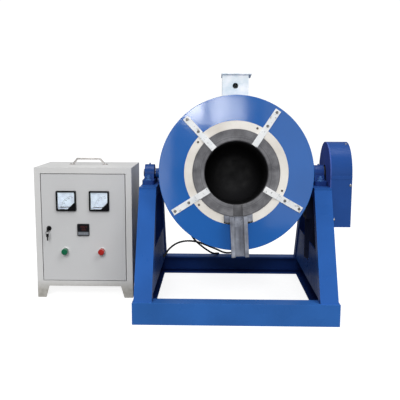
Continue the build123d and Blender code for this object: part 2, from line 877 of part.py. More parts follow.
# ================================================================ pouring spout
spout_face = drum_half + spout_proud
notch_floor = rim_face - groove_depth
spout_floor = drum_half + seat_gap + spout_floor_t
spout_heel = sqrt((ring_outer_r - seat_gap) ** 2 - (spout_w / 2) ** 2)
with BuildPart() as pouring_spout:
    with BuildSketch(spout_frame.offset(drum_half - head_depth)):
        Polygon(
            (-head_w / 2, -spout_root_r), (head_w / 2, -spout_root_r),
            (head_w / 2, -head_drop + head_bevel), (head_w / 2 - head_bevel, -head_drop),
            (-head_w / 2 + head_bevel, -head_drop), (-head_w / 2, -head_drop + head_bevel),
            align=None,
        )
    extrude(amount=head_depth + head_proud)
    with BuildSketch(spout_side):
        Polygon(
            (spout_root_r, drum_half - head_depth), (spout_heel, drum_half - head_depth),
            (spout_heel, drum_half + seat_gap), (spout_reach, drum_half + seat_gap),
            (spout_reach, spout_face), (spout_root_r, spout_face), align=None,
        )
    extrude(amount=spout_w / 2, both=True)
    with BuildSketch(spout_frame.offset(drum_half - head_depth)):
        Circle(ring_inner_r)
    extrude(amount=head_depth + spout_proud, mode=Mode.SUBTRACT)
    with BuildSketch(spout_side):    # groove floor: level with the notch, then up a ramp and down
        Polygon(
            (bore_r, notch_floor), (rim_r + spout_step, notch_floor),
            (ring_outer_r + spout_step, spout_floor), (2 * spout_reach, spout_floor),
            (2 * spout_reach, 2 * spout_face), (bore_r, 2 * spout_face), align=None,
        )
    extrude(amount=groove_w / 2, both=True, mode=Mode.SUBTRACT)
keep(pouring_spout, "pouring_spout")

# ================================================================ straps over the ring and rim
with BuildPart() as outer_straps:
    with BuildSketch(drum_frame.offset(drum_half)):
        with Locations(*strap_places):
            with Locations(((strap_inner_end + strap_outer_end) / 2, 0)):
                Rectangle(strap_outer_end - strap_inner_end, strap_w)
        with Locations(*screw_spots):
            Circle(screw_r + shank_gap, mode=Mode.SUBTRACT)
    extrude(amount=strap_t)
keep(outer_straps, "outer_straps")

with BuildPart() as inner_straps:
    with BuildSketch(drum_frame.offset(drum_half + strap_t)):
        with Locations(*strap_places):
            with Locations(((clip_inner_end + clip_outer_end) / 2, 0)):
                Rectangle(clip_outer_end - clip_inner_end, strap_w)
    extrude(amount=strap_t)
keep(inner_straps, "inner_straps")

with BuildPart() as strap_screws:
    with BuildSketch(drum_frame.offset(drum_half - plate_t)):
        with Locations(*screw_spots):
            Circle(screw_r)
    extrude(amount=plate_t + strap_t)
    with BuildSketch(drum_frame.offset(drum_half + strap_t)):
        with Locations(*screw_spots):
            Circle(screw_head_r)
    extrude(amount=screw_head_h, taper=screw_head_taper)
keep(strap_screws, "strap_screws")

# ================================================================ terminal box on top of the drum
with BuildPart() as terminal_box:
    with BuildSketch(drum_top.offset(box_foot)):
        with Locations((0, -box_place)):
            Rectangle(box_w, box_l)
    extrude(amount=box_top - box_foot)
    with BuildSketch(drum_top.offset(box_floor)):
        with Locations((0, -box_place)):
            Rectangle(box_w - 2 * box_sheet, box_l - 2 * box_sheet)
    extrude(amount=box_top - box_floor, mode=Mode.SUBTRACT)
    with BuildSketch(drum_frame):
        Circle(drum_r + seat_gap)
    extrude(amount=drum_half, mode=Mode.SUBTRACT)
    with BuildSketch(drum_frame.offset(box_place + box_l / 2)):
        with Locations((0, box_top - box_hole_drop)):
            Circle(box_hole_r)
    extrude(amount=-box_sheet, mode=Mode.SUBTRACT)
keep(terminal_box, "terminal_box")

with BuildPart() as terminal_box_cover:
    with BuildSketch(drum_top.offset(box_top)):
        with Locations((cover_shift, -box_place)):
            RectangleRounded(cover_w, cover_l, cover_round)
    extrude(amount=cover_t)
    with BuildSketch(drum_top.offset(box_top + cover_t)):
        with Locations((0, -box_place)):
            with GridLocations(box_w - 2 * cover_screw_in, box_l - 2 * cover_screw_in, 2, 2):
                Circle(cover_screw_r)
    extrude(amount=cover_screw_h)
keep(terminal_box_cover, "terminal_box_cover")

# ================================================================ cover and gland on the back plate
with BuildPart() as rear_terminal_cover:
    with BuildSketch(drum_frame.offset(-drum_half)):
        with Locations((0, rear_cover_y)):
            RectangleRounded(rear_cover_w, rear_cover_h, rear_cover_round)
    extrude(amount=-rear_cover_depth)
    with BuildSketch(drum_frame.offset(-drum_half)):
        with Locations((0, rear_cover_y)):
            RectangleRounded(rear_cover_w - 2 * rear_cover_sheet, rear_cover_h - 2 * rear_cover_sheet,
                             rear_cover_round - rear_cover_sheet)
    extrude(amount=-rear_cover_depth + rear_cover_sheet, mode=Mode.SUBTRACT)
keep(rear_terminal_cover, "rear_terminal_cover")

lead_gland_plane = Plane(
    origin=drum_frame.from_local_coords((lead_gland_x, rear_cover_y - rear_cover_h / 2,
                                         -drum_half - rear_cover_depth / 2)),
    x_dir=drum_frame.x_dir,
    z_dir=-drum_frame.y_dir,
)
supply_gland_plane = Plane(
    origin=(cabinet_left + cabinet_w, cabinet_front + supply_gland_in, supply_gland_z),
    x_dir=(0, 1, 0),
    z_dir=(1, 0, 0),
)


def cable_gland(plane):
    """Hexagon body with a domed nut; the cable leaves from its end."""
    with BuildPart() as gland:
        with BuildSketch(plane):
            RegularPolygon(gland_r, 6)
        extrude(amount=gland_l / 3)
        with BuildSketch(plane.offset(gland_l / 3)):
            Circle(gland_nut_r)
        extrude(amount=gland_l * 2 / 3)
        fillet(gland.faces().sort_by(Axis(plane.origin, plane.z_dir))[-1].edges(), gland_round)
    return gland


keep(cable_gland(lead_gland_plane), "lead_gland")
keep(cable_gland(supply_gland_plane), "supply_gland")

# ================================================================ fasteners of the stand
with BuildPart() as frame_fasteners:
    for x, y, z in bolt_places:
        with BuildSketch(Plane.XY.offset(z + foot_t)):
            with Locations((x, y)):
                Circle(washer_r)
        extrude(amount=washer_t)
        with BuildSketch(Plane.XY.offset(z + foot_t + washer_t)):
            with Locations((x, y)):
                RegularPolygon(nut_r, 6)
        extrude(amount=nut_h)
        with BuildSketch(Plane.XY.offset(z - seat_t - nut_h)):
            with Locations((x, y)):
                RegularPolygon(nut_r, 6)
        extrude(amount=nut_h)
        with BuildSketch(Plane.XY.offset(z - seat_t - nut_h)):
            with Locations((x, y)):
                Circle(bolt_r)
        extrude(amount=seat_t + foot_t + washer_t + 2 * nut_h + bolt_end)
keep(frame_fasteners, "frame_fasteners")

# ================================================================ control cabinet
opening_mid = feet_h + opening_bottom + opening_h / 2
door_w = opening_w - 2 * door_gap
door_h = opening_h - 2 * door_gap
hinge_x = (cabinet_w + door_w) / 2 - hinge_in
back_inside = cabinet_d - sheet
base_middle = Vector(cabinet_left + cabinet_w / 2, cabinet_front + cabinet_d / 2, 0)
with BuildPart() as cabinet_body:
    with BuildSketch(panel):
        with Locations((cabinet_w / 2, feet_h + cabinet_h / 2)):
            Rectangle(cabinet_w, cabinet_h)
    extrude(amount=-cabinet_d)
    with BuildSketch(panel.offset(-sheet)):
        with Locations((cabinet_w / 2, feet_h + cabinet_h / 2)):
            Rectangle(cabinet_w - 2 * sheet, cabinet_h - 2 * sheet)
    extrude(amount=-(cabinet_d - 2 * sheet), mode=Mode.SUBTRACT)
    with BuildSketch(panel):    # folded lip round the door opening
        with Locations((cabinet_w / 2, opening_mid)):
            Rectangle(opening_w + 2 * sheet, opening_h + 2 * sheet)
    extrude(amount=-lip_depth)
    with BuildSketch(panel):
        with Locations((cabinet_w / 2, opening_mid)):
            Rectangle(opening_w, opening_h)
    extrude(amount=-lip_depth, mode=Mode.SUBTRACT)
    with BuildSketch(Plane.XY.offset(feet_h + opening_bottom - sheet)):
        with Locations((cabinet_left + hinge_x, cabinet_front + hinge_back)):
            Circle(hinge_pin_r)
    extrude(amount=opening_h + 2 * sheet, mode=Mode.SUBTRACT)
    with BuildSketch(panel.offset(-back_inside)):    # studs that carry the mounting plate
        with Locations((cabinet_w / 2, feet_h + cabinet_h / 2)):
            with GridLocations(mount_plate_w - 2 * stud_in, mount_plate_h - 2 * stud_in, 2, 2):
                Circle(standoff_r)
    extrude(amount=standoff)
    for x_side in (-1, 1):    # folded corner feet, tapered on both faces
        for y_side in (-1, 1):
            edge_x = cabinet_w / 2 * x_side
            edge_y = cabinet_d / 2 * y_side
            with BuildSketch(Plane(base_middle + Vector(0, edge_y, 0), x_dir=(1, 0, 0), z_dir=(0, -1, 0))):
                Polygon((edge_x, 0), (edge_x - x_side * foot_bottom_w, 0),
                        (edge_x - x_side * foot_top_w, feet_h), (edge_x, feet_h), align=None)
            extrude(amount=y_side * sheet)
            with BuildSketch(Plane(base_middle + Vector(edge_x, 0, 0), x_dir=(0, 1, 0), z_dir=(1, 0, 0))):
                Polygon((edge_y, 0), (edge_y - y_side * foot_side_bottom_w, 0),
                        (edge_y - y_side * foot_side_w, feet_h), (edge_y, feet_h), align=None)
            extrude(amount=-x_side * sheet)
keep(cabinet_body, "cabinet_body")

with BuildPart() as hinge_pins:
    for end, side in ((feet_h + opening_bottom, -1), (feet_h + opening_bottom + opening_h, 1)):
        with BuildSketch(Plane.XY.offset(end + side * sheet)):
            with Locations((cabinet_left + hinge_x, cabinet_front + hinge_back)):
                Circle(hinge_pin_r)
        extrude(amount=-side * hinge_pin_l)
keep(hinge_pins, "hinge_pins")

with BuildPart() as mounting_plate:
    with BuildSketch(panel.offset(-back_inside + standoff)):
        with Locations((cabinet_w / 2, feet_h + cabinet_h / 2)):
            RectangleRounded(mount_plate_w, mount_plate_h, mount_plate_round)
    extrude(amount=mount_plate_t)
keep(mounting_plate, "mounting_plate")

plate_face = panel.offset(-back_inside + standoff + mount_plate_t)
with BuildPart() as power_regulator:    # thyristor block on a finned heat sink
    with BuildSketch(plate_face):
        with Locations((regulator_x, device_z)):
            Rectangle(regulator_w, regulator_h)
    extrude(amount=regulator_base)
    with BuildSketch(plate_face.offset(regulator_base)):
        with Locations((regulator_x, device_z)):
            with GridLocations(regulator_fin_pitch, 0, regulator_fins, 1):
                Rectangle(regulator_fin_t, regulator_h)
    extrude(amount=regulator_fin_l)
    with BuildSketch(plate_face.offset(regulator_base + regulator_fin_l)):
        with Locations((regulator_x, device_z)):
            Rectangle(regulator_w, thyristor_h)
    extrude(amount=thyristor_t)
keep(power_regulator, "power_regulator")

with BuildPart() as contactor:
    with BuildSketch(plate_face):
        with Locations((contactor_x, device_z)):
            Rectangle(contactor_w, contactor_h)
    extrude(amount=contactor_t)
    with BuildSketch(plate_face.offset(contactor_t)):
        with Locations((contactor_x, device_z)):
            Rectangle(contactor_w, contactor_head_h)
    extrude(amount=contactor_head_t)
keep(contactor, "contactor")

half_bar = handle_bar / 2
half_span = handle_span / 2
roof_middle = base_middle + Vector(0, 0, feet_h + cabinet_h)
with BuildPart() as cabinet_handle:
    with BuildLine(Plane(roof_middle, x_dir=(1, 0, 0), z_dir=(0, -1, 0))) as rod:
        FilletPolyline((-half_span, 0), (-half_span, handle_shank), (-half_bar, handle_rise),
                       (half_bar, handle_rise), (half_span, handle_shank), (half_span, 0),
                       radius=handle_bend)
    with BuildSketch(Plane(rod.line @ 0, x_dir=(1, 0, 0), z_dir=(0, 0, 1))):
        Circle(handle_rod_r)
    sweep()
    for side in (-1, 1):
        tab_middle = side * (half_span + handle_tab_l / 2 - handle_tab_in)
        with BuildSketch(Plane(roof_middle, x_dir=(1, 0, 0), z_dir=(0, 0, 1))):
            with Locations((tab_middle, 0)):
                RectangleRounded(handle_tab_l, handle_tab_w, handle_tab_round)
        extrude(amount=handle_tab_t)
keep(cabinet_handle, "cabinet_handle")

# ================================================================ door
with BuildPart() as cabinet_door:
    with BuildSketch(panel):
        with Locations((cabinet_w / 2, opening_mid)):
            Rectangle(door_w, door_h)
    extrude(amount=-door_depth)
    with BuildSketch(panel.offset(-sheet)):
        with Locations((cabinet_w / 2, opening_mid)):
            Rectangle(door_w - 2 * sheet, door_h - 2 * sheet)
    extrude(amount=-door_depth, mode=Mode.SUBTRACT)
    with BuildSketch(Plane.XY.offset(opening_mid - door_h)):
        with Locations((cabinet_left + hinge_x, cabinet_front + hinge_back)):
            Circle(hinge_pin_r + running_fit)
    extrude(amount=2 * door_h, mode=Mode.SUBTRACT)
    with BuildSketch(panel):
        with Locations(*[(x, meter_z) for x in meter_x]):
            Circle(meter_barrel_r + cutout_gap)
        with Locations((controller_x, controller_z)):
            Rectangle(controller_body + 2 * cutout_gap, controller_body + 2 * cutout_gap)
        with Locations(*[(x, button_z) for x in button_x]):
            Circle(button_barrel_r + cutout_gap)
        with Locations((lock_x, lock_z)):
            Circle(lock_barrel_r + cutout_gap)
    extrude(amount=-sheet, mode=Mode.SUBTRACT)
keep(cabinet_door, "cabinet_door")


# ================================================================ panel meters
def window_outline(shrink):
    """Square window with its lower right corner cut off."""
    half = meter_window / 2 - shrink
    cut = meter_window / 2 - meter_cut + shrink
    Polygon((-half, -half), (cut, -half), (half, -cut), (half, half), (-half, half), align=None)


cover_start = meter_proud - meter_cover_t
with BuildPart() as meter_cases:
    for x in meter_x:
        with BuildSketch(panel):
            with Locations((x, meter_z)):
                RectangleRounded(meter_size, meter_size, meter_round)
        extrude(amount=meter_proud)
        with BuildSketch(panel.offset(meter_back_t)):
            with Locations((x, meter_z)):
                Rectangle(meter_window, meter_window)
        extrude(amount=cover_start - meter_back_t, mode=Mode.SUBTRACT)
        with BuildSketch(panel.offset(cover_start)):
            with Locations((x, meter_z)):
                window_outline(0)
        extrude(amount=meter_cover_t, mode=Mode.SUBTRACT)
        with BuildSketch(panel.offset(meter_back_t)):
            with Locations((x + pivot_in, meter_z - pivot_in)):
                Circle(pivot_r)
        extrude(amount=cover_start - meter_back_t - pivot_short)
        with BuildSketch(panel):
            with Locations((x, meter_z)):
                Circle(meter_barrel_r)
        extrude(amount=-meter_barrel_l)
keep(meter_cases, "meter_cases")

with BuildPart() as meter_dials:
    with BuildSketch(panel.offset(meter_back_t)):
        with Locations(*[(x, meter_z) for x in meter_x]):
            Rectangle(meter_window - 2 * dial_gap, meter_window - 2 * dial_gap)
        with Locations(*[(x + pivot_in, meter_z - pivot_in) for x in meter_x]):
            Circle(pivot_r + dial_gap, mode=Mode.SUBTRACT)
    extrude(amount=dial_t)
keep(meter_dials, "meter_dials")

with BuildPart() as meter_windows:
    with BuildSketch(panel.offset(cover_start + window_rise)):
        with Locations(*[(x, meter_z) for x in meter_x]):
            window_outline(window_gap)
    extrude(amount=window_t)
keep(meter_windows, "meter_windows")


def meter_needle(x):
    """Hub on the pivot pin with a thin pointer to the left and a short tail."""
    with BuildPart() as needle:
        with BuildSketch(panel.offset(meter_back_t + needle_rise)):
            with Locations((x + pivot_in, meter_z - pivot_in)):
                Polygon((needle_tail, needle_w / 2), (needle_tail, -needle_w / 2), (0, -needle_w / 2),
                        (-needle_l, -needle_tip_w / 2), (-needle_l, needle_tip_w / 2),
                        (0, needle_w / 2), align=None)
                Circle(pivot_r + running_fit, mode=Mode.SUBTRACT)
        extrude(amount=needle_t)
        with BuildSketch(panel.offset(meter_back_t + needle_hub_back)):
            with Locations((x + pivot_in, meter_z - pivot_in)):
                Circle(needle_hub_r)
                Circle(pivot_r + running_fit, mode=Mode.SUBTRACT)
        extrude(amount=needle_hub_t)
    return needle


keep(meter_needle(meter_x[0]), "left_meter_needle")
keep(meter_needle(meter_x[1]), "right_meter_needle")

# ================================================================ controller, buttons and lock
with BuildPart() as temperature_controller:
    with BuildSketch(panel):
        with Locations((controller_x, controller_z)):
            RectangleRounded(controller_size, controller_size, controller_round)
    extrude(amount=controller_proud)
    with BuildSketch(panel.offset(controller_proud)):
        with Locations((controller_x, controller_z + controller_size / 2 - display_top)):
            Rectangle(display_w, display_h, align=(Align.CENTER, Align.MAX))
    extrude(amount=-display_recess, mode=Mode.SUBTRACT)
    with BuildSketch(panel):
        with Locations((controller_x, controller_z)):
            Rectangle(controller_body, controller_body)
    extrude(amount=-controller_body_l)
keep(temperature_controller, "temperature_controller")

with BuildPart() as button_bezels:
    for x in button_x:
        with BuildSketch(panel):
            with Locations((x, button_z)):
                Circle(bezel_r)
        extrude(amount=bezel_t, taper=bezel_taper)
        with BuildSketch(panel):
            with Locations((x, button_z)):
                Circle(button_barrel_r)
        extrude(amount=-button_barrel_l)
        with BuildSketch(panel.offset(bezel_t)):
            with Locations((x, button_z)):
                Circle(button_stem_r + running_fit)
        extrude(amount=-bezel_t - button_stem_l - button_travel - button_gap, mode=Mode.SUBTRACT)
keep(button_bezels, "button_bezels")


def push_button(x):
    """Cap on a stem that slides in the bezel."""
    cap_back = bezel_t + button_travel + button_gap
    with BuildPart() as button:
        with BuildSketch(panel.offset(cap_back)):
            with Locations((x, button_z)):
                Circle(button_cap_r)
        extrude(amount=button_reach - cap_back)
        fillet(button.faces().sort_by(Axis.Y)[0].edges(), cap_round)
        with BuildSketch(panel.offset(cap_back)):
            with Locations((x, button_z)):
                Circle(button_stem_r)
        extrude(amount=-cap_back - button_stem_l)
    return button


keep(push_button(button_x[0]), "start_button")
keep(push_button(button_x[1]), "stop_button")

with BuildPart() as lock_body:
    with BuildSketch(panel):
        with Locations((lock_x, lock_z)):
            Circle(lock_r)
    extrude(amount=lock_proud, taper=lock_taper)
    with BuildSketch(panel):
        with Locations((lock_x, lock_z)):
            Circle(lock_barrel_r)
    extrude(amount=-lock_barrel_l)
    with BuildSketch(panel.offset(lock_proud)):
        with Locations((lock_x, lock_z)):
            Circle(plug_r + running_fit)
    extrude(amount=-lock_proud - lock_barrel_l, mode=Mode.SUBTRACT)
keep(lock_body, "lock_body")

with BuildPart() as lock_plug:    # plug with the keyway, and the cam bolted to its back end
    with BuildSketch(panel.offset(lock_proud)):
        with Locations((lock_x, lock_z)):
            Circle(plug_r)
    extrude(amount=-lock_proud - lock_barrel_l - cam_gap)
    with BuildSketch(panel.offset(-lock_barrel_l - cam_gap)):
        with Locations((lock_x, lock_z)):
            SlotCenterToCenter(cam_l - cam_w, cam_w, rotation=90)
        with Locations((lock_x, lock_z + (cam_l - cam_w) / 2)):
            Rectangle(cam_w, cam_l - cam_w)
    extrude(amount=-cam_t)
    with BuildSketch(panel.offset(lock_proud)):
        with Locations((lock_x, lock_z)):
            Rectangle(key_t + 2 * key_gap, keyway_h)
    extrude(amount=-lock_proud - keyway_l, mode=Mode.SUBTRACT)
keep(lock_plug, "lock_plug")

key_plane = Plane(
    origin=(cabinet_left + lock_x, cabinet_front, lock_z), x_dir=(0, -1, 0), z_dir=(-1, 0, 0)
)
ring_hole_x = bow_start + bow_l - ring_hole_in
with BuildPart() as lock_key:
    with BuildSketch(key_plane):
        with Locations((bow_start + bow_l / 2, 0)):
            RectangleRounded(bow_l, bow_w, bow_round)
        with Locations((ring_hole_x, -ring_hole_drop)):
            Circle(ring_hole_r, mode=Mode.SUBTRACT)
        with Locations((key_short - keyway_l, 0)):
            Rectangle(keyway_l - key_short + bow_start + bow_round, keyway_h - 2 * key_gap,
                      align=(Align.MIN, Align.CENTER))
    extrude(amount=key_t / 2, both=True)
keep(lock_key, "lock_key")

ring_hole = key_plane.from_local_coords((ring_hole_x, -ring_hole_drop, 0))
ring_middle = ring_hole - Vector(0, 0, ring_r)
hang_plane = Plane(origin=ring_middle - Vector(0, 0, ring_r), x_dir=(1, 0, 0), z_dir=(0, -1, 0))
with BuildPart() as spare_key:    # hangs from the first key on a wire ring
    with BuildSketch(Plane(origin=ring_middle, x_dir=(1, 1, 0), z_dir=(0, 0, 1))):
        with Locations((ring_r, 0)):
            Circle(ring_wire_r)
    revolve(axis=Axis(ring_middle, (1, -1, 0)))
    with BuildSketch(hang_plane):
        with Locations((0, spare_bow_top - spare_bow_l / 2)):
            RectangleRounded(spare_bow_w, spare_bow_l, spare_bow_round)
        with Locations((0, spare_bow_top - spare_bow_l)):
            Rectangle(spare_blade_w, spare_blade_l, align=(Align.CENTER, Align.MAX))
        Circle(ring_wire_r + seat_gap, mode=Mode.SUBTRACT)
    extrude(amount=key_t / 2, both=True)
keep(spare_key, "spare_key")

# ================================================================ cables
# The two cables meet on the floor behind the rear beam: one comes from the cabinet and arches
# over the beam, the other hangs from the gland on the drum's back cover.
cable_bend = 0.45
first_run = 30          # straight out of the gland on the drum
gland_end = supply_gland_plane.offset(gland_l).origin
lead_end = lead_gland_plane.offset(gland_l).origin
lead_hang = lead_gland_plane.offset(gland_l + first_run).origin
cable_rest = cable_r + 0.5    # middle of a cable that lies on the floor
joint = (181, 485, cable_rest)
supply_route = [
    (gland_end.X, gland_end.Y, gland_end.Z),
    (-176, 165, 110),
    (-146, 188, 103),
    (-127, 230, 103),
    (-117, 272, 120),
    (-84, 292, 147),
    (-41, 301, 159),
    (3, 307, 157),
    (39, 312, 150),
    (74, 319, 138),
    (111, 332, 120),
    (147, 350, 103),
    (186, 374, 96),
    (222, 404, 84),
    (246, 440, 58),
    (246, 468, 26),
    (219, 485, cable_rest),
    joint,
]
lead_route = [
    (lead_end.X, lead_end.Y, lead_end.Z),
    (lead_hang.X, lead_hang.Y, lead_hang.Z),
    (-6, 265, 226),
    (-10, 280, 190),
    (12, 291, 160),
    (39, 299, 135),
    (66, 312, 113),
    (94, 333, 99),
    (112, 364, 95),
    (120, 402, 84),
    (114, 440, 64),
    (112, 470, 30),
    (141, 485, cable_rest),
    joint,
]


def cable_radii(points):
    """Largest bend at each inner point that its two runs leave room for."""
    radii = []
    for before, here, after in zip(points, points[1:], points[2:]):
        first = Vector(*here) - Vector(*before)
        second = Vector(*after) - Vector(*here)
        half_turn = radians(first.get_angle(second)) / 2
        radii.append(cable_bend * min(first.length, second.length) / tan(half_turn))
    return radii


def cable(points):
    """Round cable along straight runs joined by tangent bends."""
    radii = cable_radii(points)
    with BuildPart() as solid:
        with BuildLine() as path:
            FilletPolyline(*points, radius=radii)
        with BuildSketch(Plane(path.line @ 0, z_dir=path.line % 0)):
            Circle(cable_r)
        sweep()
    length = path.wires()[0].length
    print("bend radii", [round(radius) for radius in radii])
    print("length", round(length), "volume against section times length",
          round(solid.part.volume / (pi * cable_r ** 2 * length), 4))
    return solid


keep(cable(supply_route), "supply_cable")
keep(cable(lead_route), "furnace_lead")
print("gears", gear_teeth, pinion_teeth, "furnace x", furnace_x, "trunnion", axis_z, "pinion", pinion_z)
print("cabinet", cabinet_left, cabinet_front, "hinge", cabinet_left + hinge_x, cabinet_front + hinge_back)
print("ring hole", ring_hole, "lead gland end", lead_end, "supply gland end", gland_end)
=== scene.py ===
import json
from math import cos, inf, pi, radians, sin

import bmesh
import bpy
from mathutils import Matrix, Vector


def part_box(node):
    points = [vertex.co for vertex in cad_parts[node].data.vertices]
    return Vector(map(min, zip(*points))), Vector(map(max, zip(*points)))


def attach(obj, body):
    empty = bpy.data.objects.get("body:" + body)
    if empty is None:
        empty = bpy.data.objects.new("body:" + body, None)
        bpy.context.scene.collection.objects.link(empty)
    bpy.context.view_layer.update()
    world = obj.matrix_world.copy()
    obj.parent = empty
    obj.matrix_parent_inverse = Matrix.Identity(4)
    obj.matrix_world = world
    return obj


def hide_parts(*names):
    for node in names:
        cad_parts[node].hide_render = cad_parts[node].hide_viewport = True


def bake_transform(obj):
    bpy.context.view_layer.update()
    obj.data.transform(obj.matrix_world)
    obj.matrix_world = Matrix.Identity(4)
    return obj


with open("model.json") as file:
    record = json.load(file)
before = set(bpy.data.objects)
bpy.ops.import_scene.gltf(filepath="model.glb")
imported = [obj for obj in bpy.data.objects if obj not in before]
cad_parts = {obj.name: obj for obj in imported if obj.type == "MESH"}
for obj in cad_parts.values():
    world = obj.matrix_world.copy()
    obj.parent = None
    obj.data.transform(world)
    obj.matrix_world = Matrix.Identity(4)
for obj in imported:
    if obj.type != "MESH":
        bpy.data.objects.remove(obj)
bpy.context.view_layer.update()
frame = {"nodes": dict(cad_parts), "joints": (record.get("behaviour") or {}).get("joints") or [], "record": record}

NODES = frame["nodes"]
SCENE = bpy.context.scene
X, Y, Z = Vector((1, 0, 0)), Vector((0, 1, 0)), Vector((0, 0, 1))

# ---------------------------------------------------------------- places taken from the frame
JOINTS = {joint["name"]: joint for joint in frame["joints"]}
AXIS_POINT = Vector(JOINTS["drum_tilt"]["pos_m"])       # middle of the trunnions' axis
TILT = radians(6.5)                             # how far the drum leans back at rest
OUT = Vector((0, -cos(TILT), sin(TILT)))        # out of the drum's mouth
UP = Vector((0, sin(TILT), cos(TILT)))          # square to it, to the top of the drum
DRUM_HALF = 0.26                                # from the axis to the drum's front plate


def frame_of(centre, right, up):
    """Matrix that puts local x, y, z on right, up and their cross product at a centre."""
    right = right.normalized()
    up = up.normalized()
    normal = right.cross(up)
    return Matrix.Translation(centre) @ Matrix((right, up, normal)).transposed().to_4x4()


def upright_frame(x, y, z, outward=-1):
    """z out of an upright face that looks to the front, or to the back with outward 1; y up."""
    return frame_of(Vector((x, y, z)), X * -outward, Z)


def drum_face_frame(radius, turn, proud=0.0):
    """z out of the drum's front, at a radius and a turn in degrees from the right."""
    turn = radians(turn)
    place = AXIS_POINT + X * (radius * cos(turn)) + UP * (radius * sin(turn))
    return frame_of(place + OUT * (DRUM_HALF + proud), X, UP)


# ================================================================ shader nodes
def fill(tree, node, values):
    """Link or set a node's inputs, by name or number, from sockets or plain values."""
    for key, value in values.items():
        if isinstance(value, bpy.types.NodeSocket):
            tree.links.new(value, node.inputs[key])
        else:
            node.inputs[key].default_value = value


def add_node(tree, kind, values):
    node = tree.nodes.new("ShaderNode" + kind)
    fill(tree, node, values)
    return node


def add_maths(tree, kind, operation, *values):
    """Result of a Math or VectorMath node."""
    node = tree.nodes.new("ShaderNode" + kind)
    node.operation = operation
    fill(tree, node, dict(enumerate(values)))
    scalar = kind == "Math" or operation in ("DOT_PRODUCT", "LENGTH")
    return node.outputs["Value" if scalar else "Vector"]


def object_place(tree):
    """The shaded point in its piece's own metres: for a CAD piece, the shared frame at rest."""
    return tree.nodes.new("ShaderNodeTexCoord").outputs["Object"]


def coordinate(tree, axis):
    """X, Y or Z of the shaded point."""
    return add_node(tree, "SeparateXYZ", {"Vector": object_place(tree)}).outputs[axis]


def new_material(name):
    mat = bpy.data.materials.new(name)
    mat.use_nodes = True
    tree = mat.node_tree
    return mat, tree, tree.nodes["Principled BSDF"], object_place(tree)


def add_noise(tree, vector, scale, detail=4.0, stretch=None):
    """Noise value; stretch makes the grain longer along an axis."""
    if stretch:
        vector = add_node(tree, "Mapping", {"Vector": vector, "Scale": stretch}).outputs["Vector"]
    noise = add_node(tree, "TexNoise", {"Vector": vector, "Scale": scale, "Detail": detail})
    return noise.outputs["Fac"]


def add_cells(tree, vector, scale):
    """Voronoi cells, for their colour or the distance from their middles."""
    return add_node(tree, "TexVoronoi", {"Vector": vector, "Scale": scale})


def add_ramp(tree, value, stops):
    """Colour ramp over (position, colour) stops."""
    ramp = add_node(tree, "ValToRGB", {"Fac": value})
    while len(ramp.color_ramp.elements) < len(stops):
        ramp.color_ramp.elements.new(0.5)
    for element, (position, colour) in zip(ramp.color_ramp.elements, stops):
        element.position = position
        element.color = (*colour, 1)
    return ramp.outputs["Color"]


def add_range(tree, value, low, high, start=0.3, end=0.7):
    """From low to high, as the value goes from start to end."""
    node = add_node(tree, "MapRange", {"Value": value, "From Min": start, "From Max": end,
                                       "To Min": low, "To Max": high})
    return node.outputs["Result"]


def add_mix(tree, factor, first, second):
    """The first colour, turning into the second as the factor goes to 1."""
    node = tree.nodes.new("ShaderNodeMix")
    node.data_type = "RGBA"
    colours = [index for index, socket in enumerate(node.inputs) if socket.type == "RGBA"]
    if isinstance(second, tuple):
        second = (*second, 1)
    fill(tree, node, dict(zip((0, *colours), (factor, first, second))))
    return next(socket for socket in node.outputs if socket.type == "RGBA")


def add_bump(tree, height, strength, distance, normal=None):
    bump = add_node(tree, "Bump", {"Height": height, "Strength": strength, "Distance": distance})
    if normal:
        tree.links.new(normal, bump.inputs["Normal"])
    return bump.outputs["Normal"]


def edge_mask(tree, radius):
    """1 on sharp edges, 0 on flat faces, from how far the rounded normal turns away."""
    bevel = add_node(tree, "Bevel", {"Radius": radius})
    bevel.samples = 4
    geometry = tree.nodes.new("ShaderNodeNewGeometry")
    agreement = add_maths(tree, "VectorMath", "DOT_PRODUCT",
                          bevel.outputs["Normal"], geometry.outputs["Normal"])
    return add_range(tree, agreement, 1, 0, start=0.75, end=0.97)


def tint(colour, factor):
    return tuple(min(1, channel * factor) for channel in colour)


def add_mottling(tree, noise, colour, dark, light):
    """A colour that wanders between two shares of itself."""
    return add_ramp(tree, noise, [(0.3, tint(colour, dark)), (0.7, tint(colour, light))])


def tool_marks(tree, vector):
    """Rings round the drum's axis, 3 mm apart and uneven, as a lathe leaves them."""
    from_axis = add_maths(tree, "VectorMath", "SUBTRACT", vector, AXIS_POINT)
    across = add_maths(tree, "VectorMath", "CROSS_PRODUCT", from_axis, OUT)
    radius = add_maths(tree, "VectorMath", "LENGTH", across)
    wave = tree.nodes.new("ShaderNodeTexNoise")
    wave.noise_dimensions = "1D"
    fill(tree, wave, {"W": radius, "Scale": 330, "Detail": 3})
    return wave.outputs["Fac"]


# ================================================================ materials
PAINTED_SHADE_BLUE = (0.009, 0.026, 0.15)        # painted shade: the dark blue the enamel turns to in hollows and corners
SHADE_REACH = 0.45                  # how far off a wall can be and still cast the painted shade
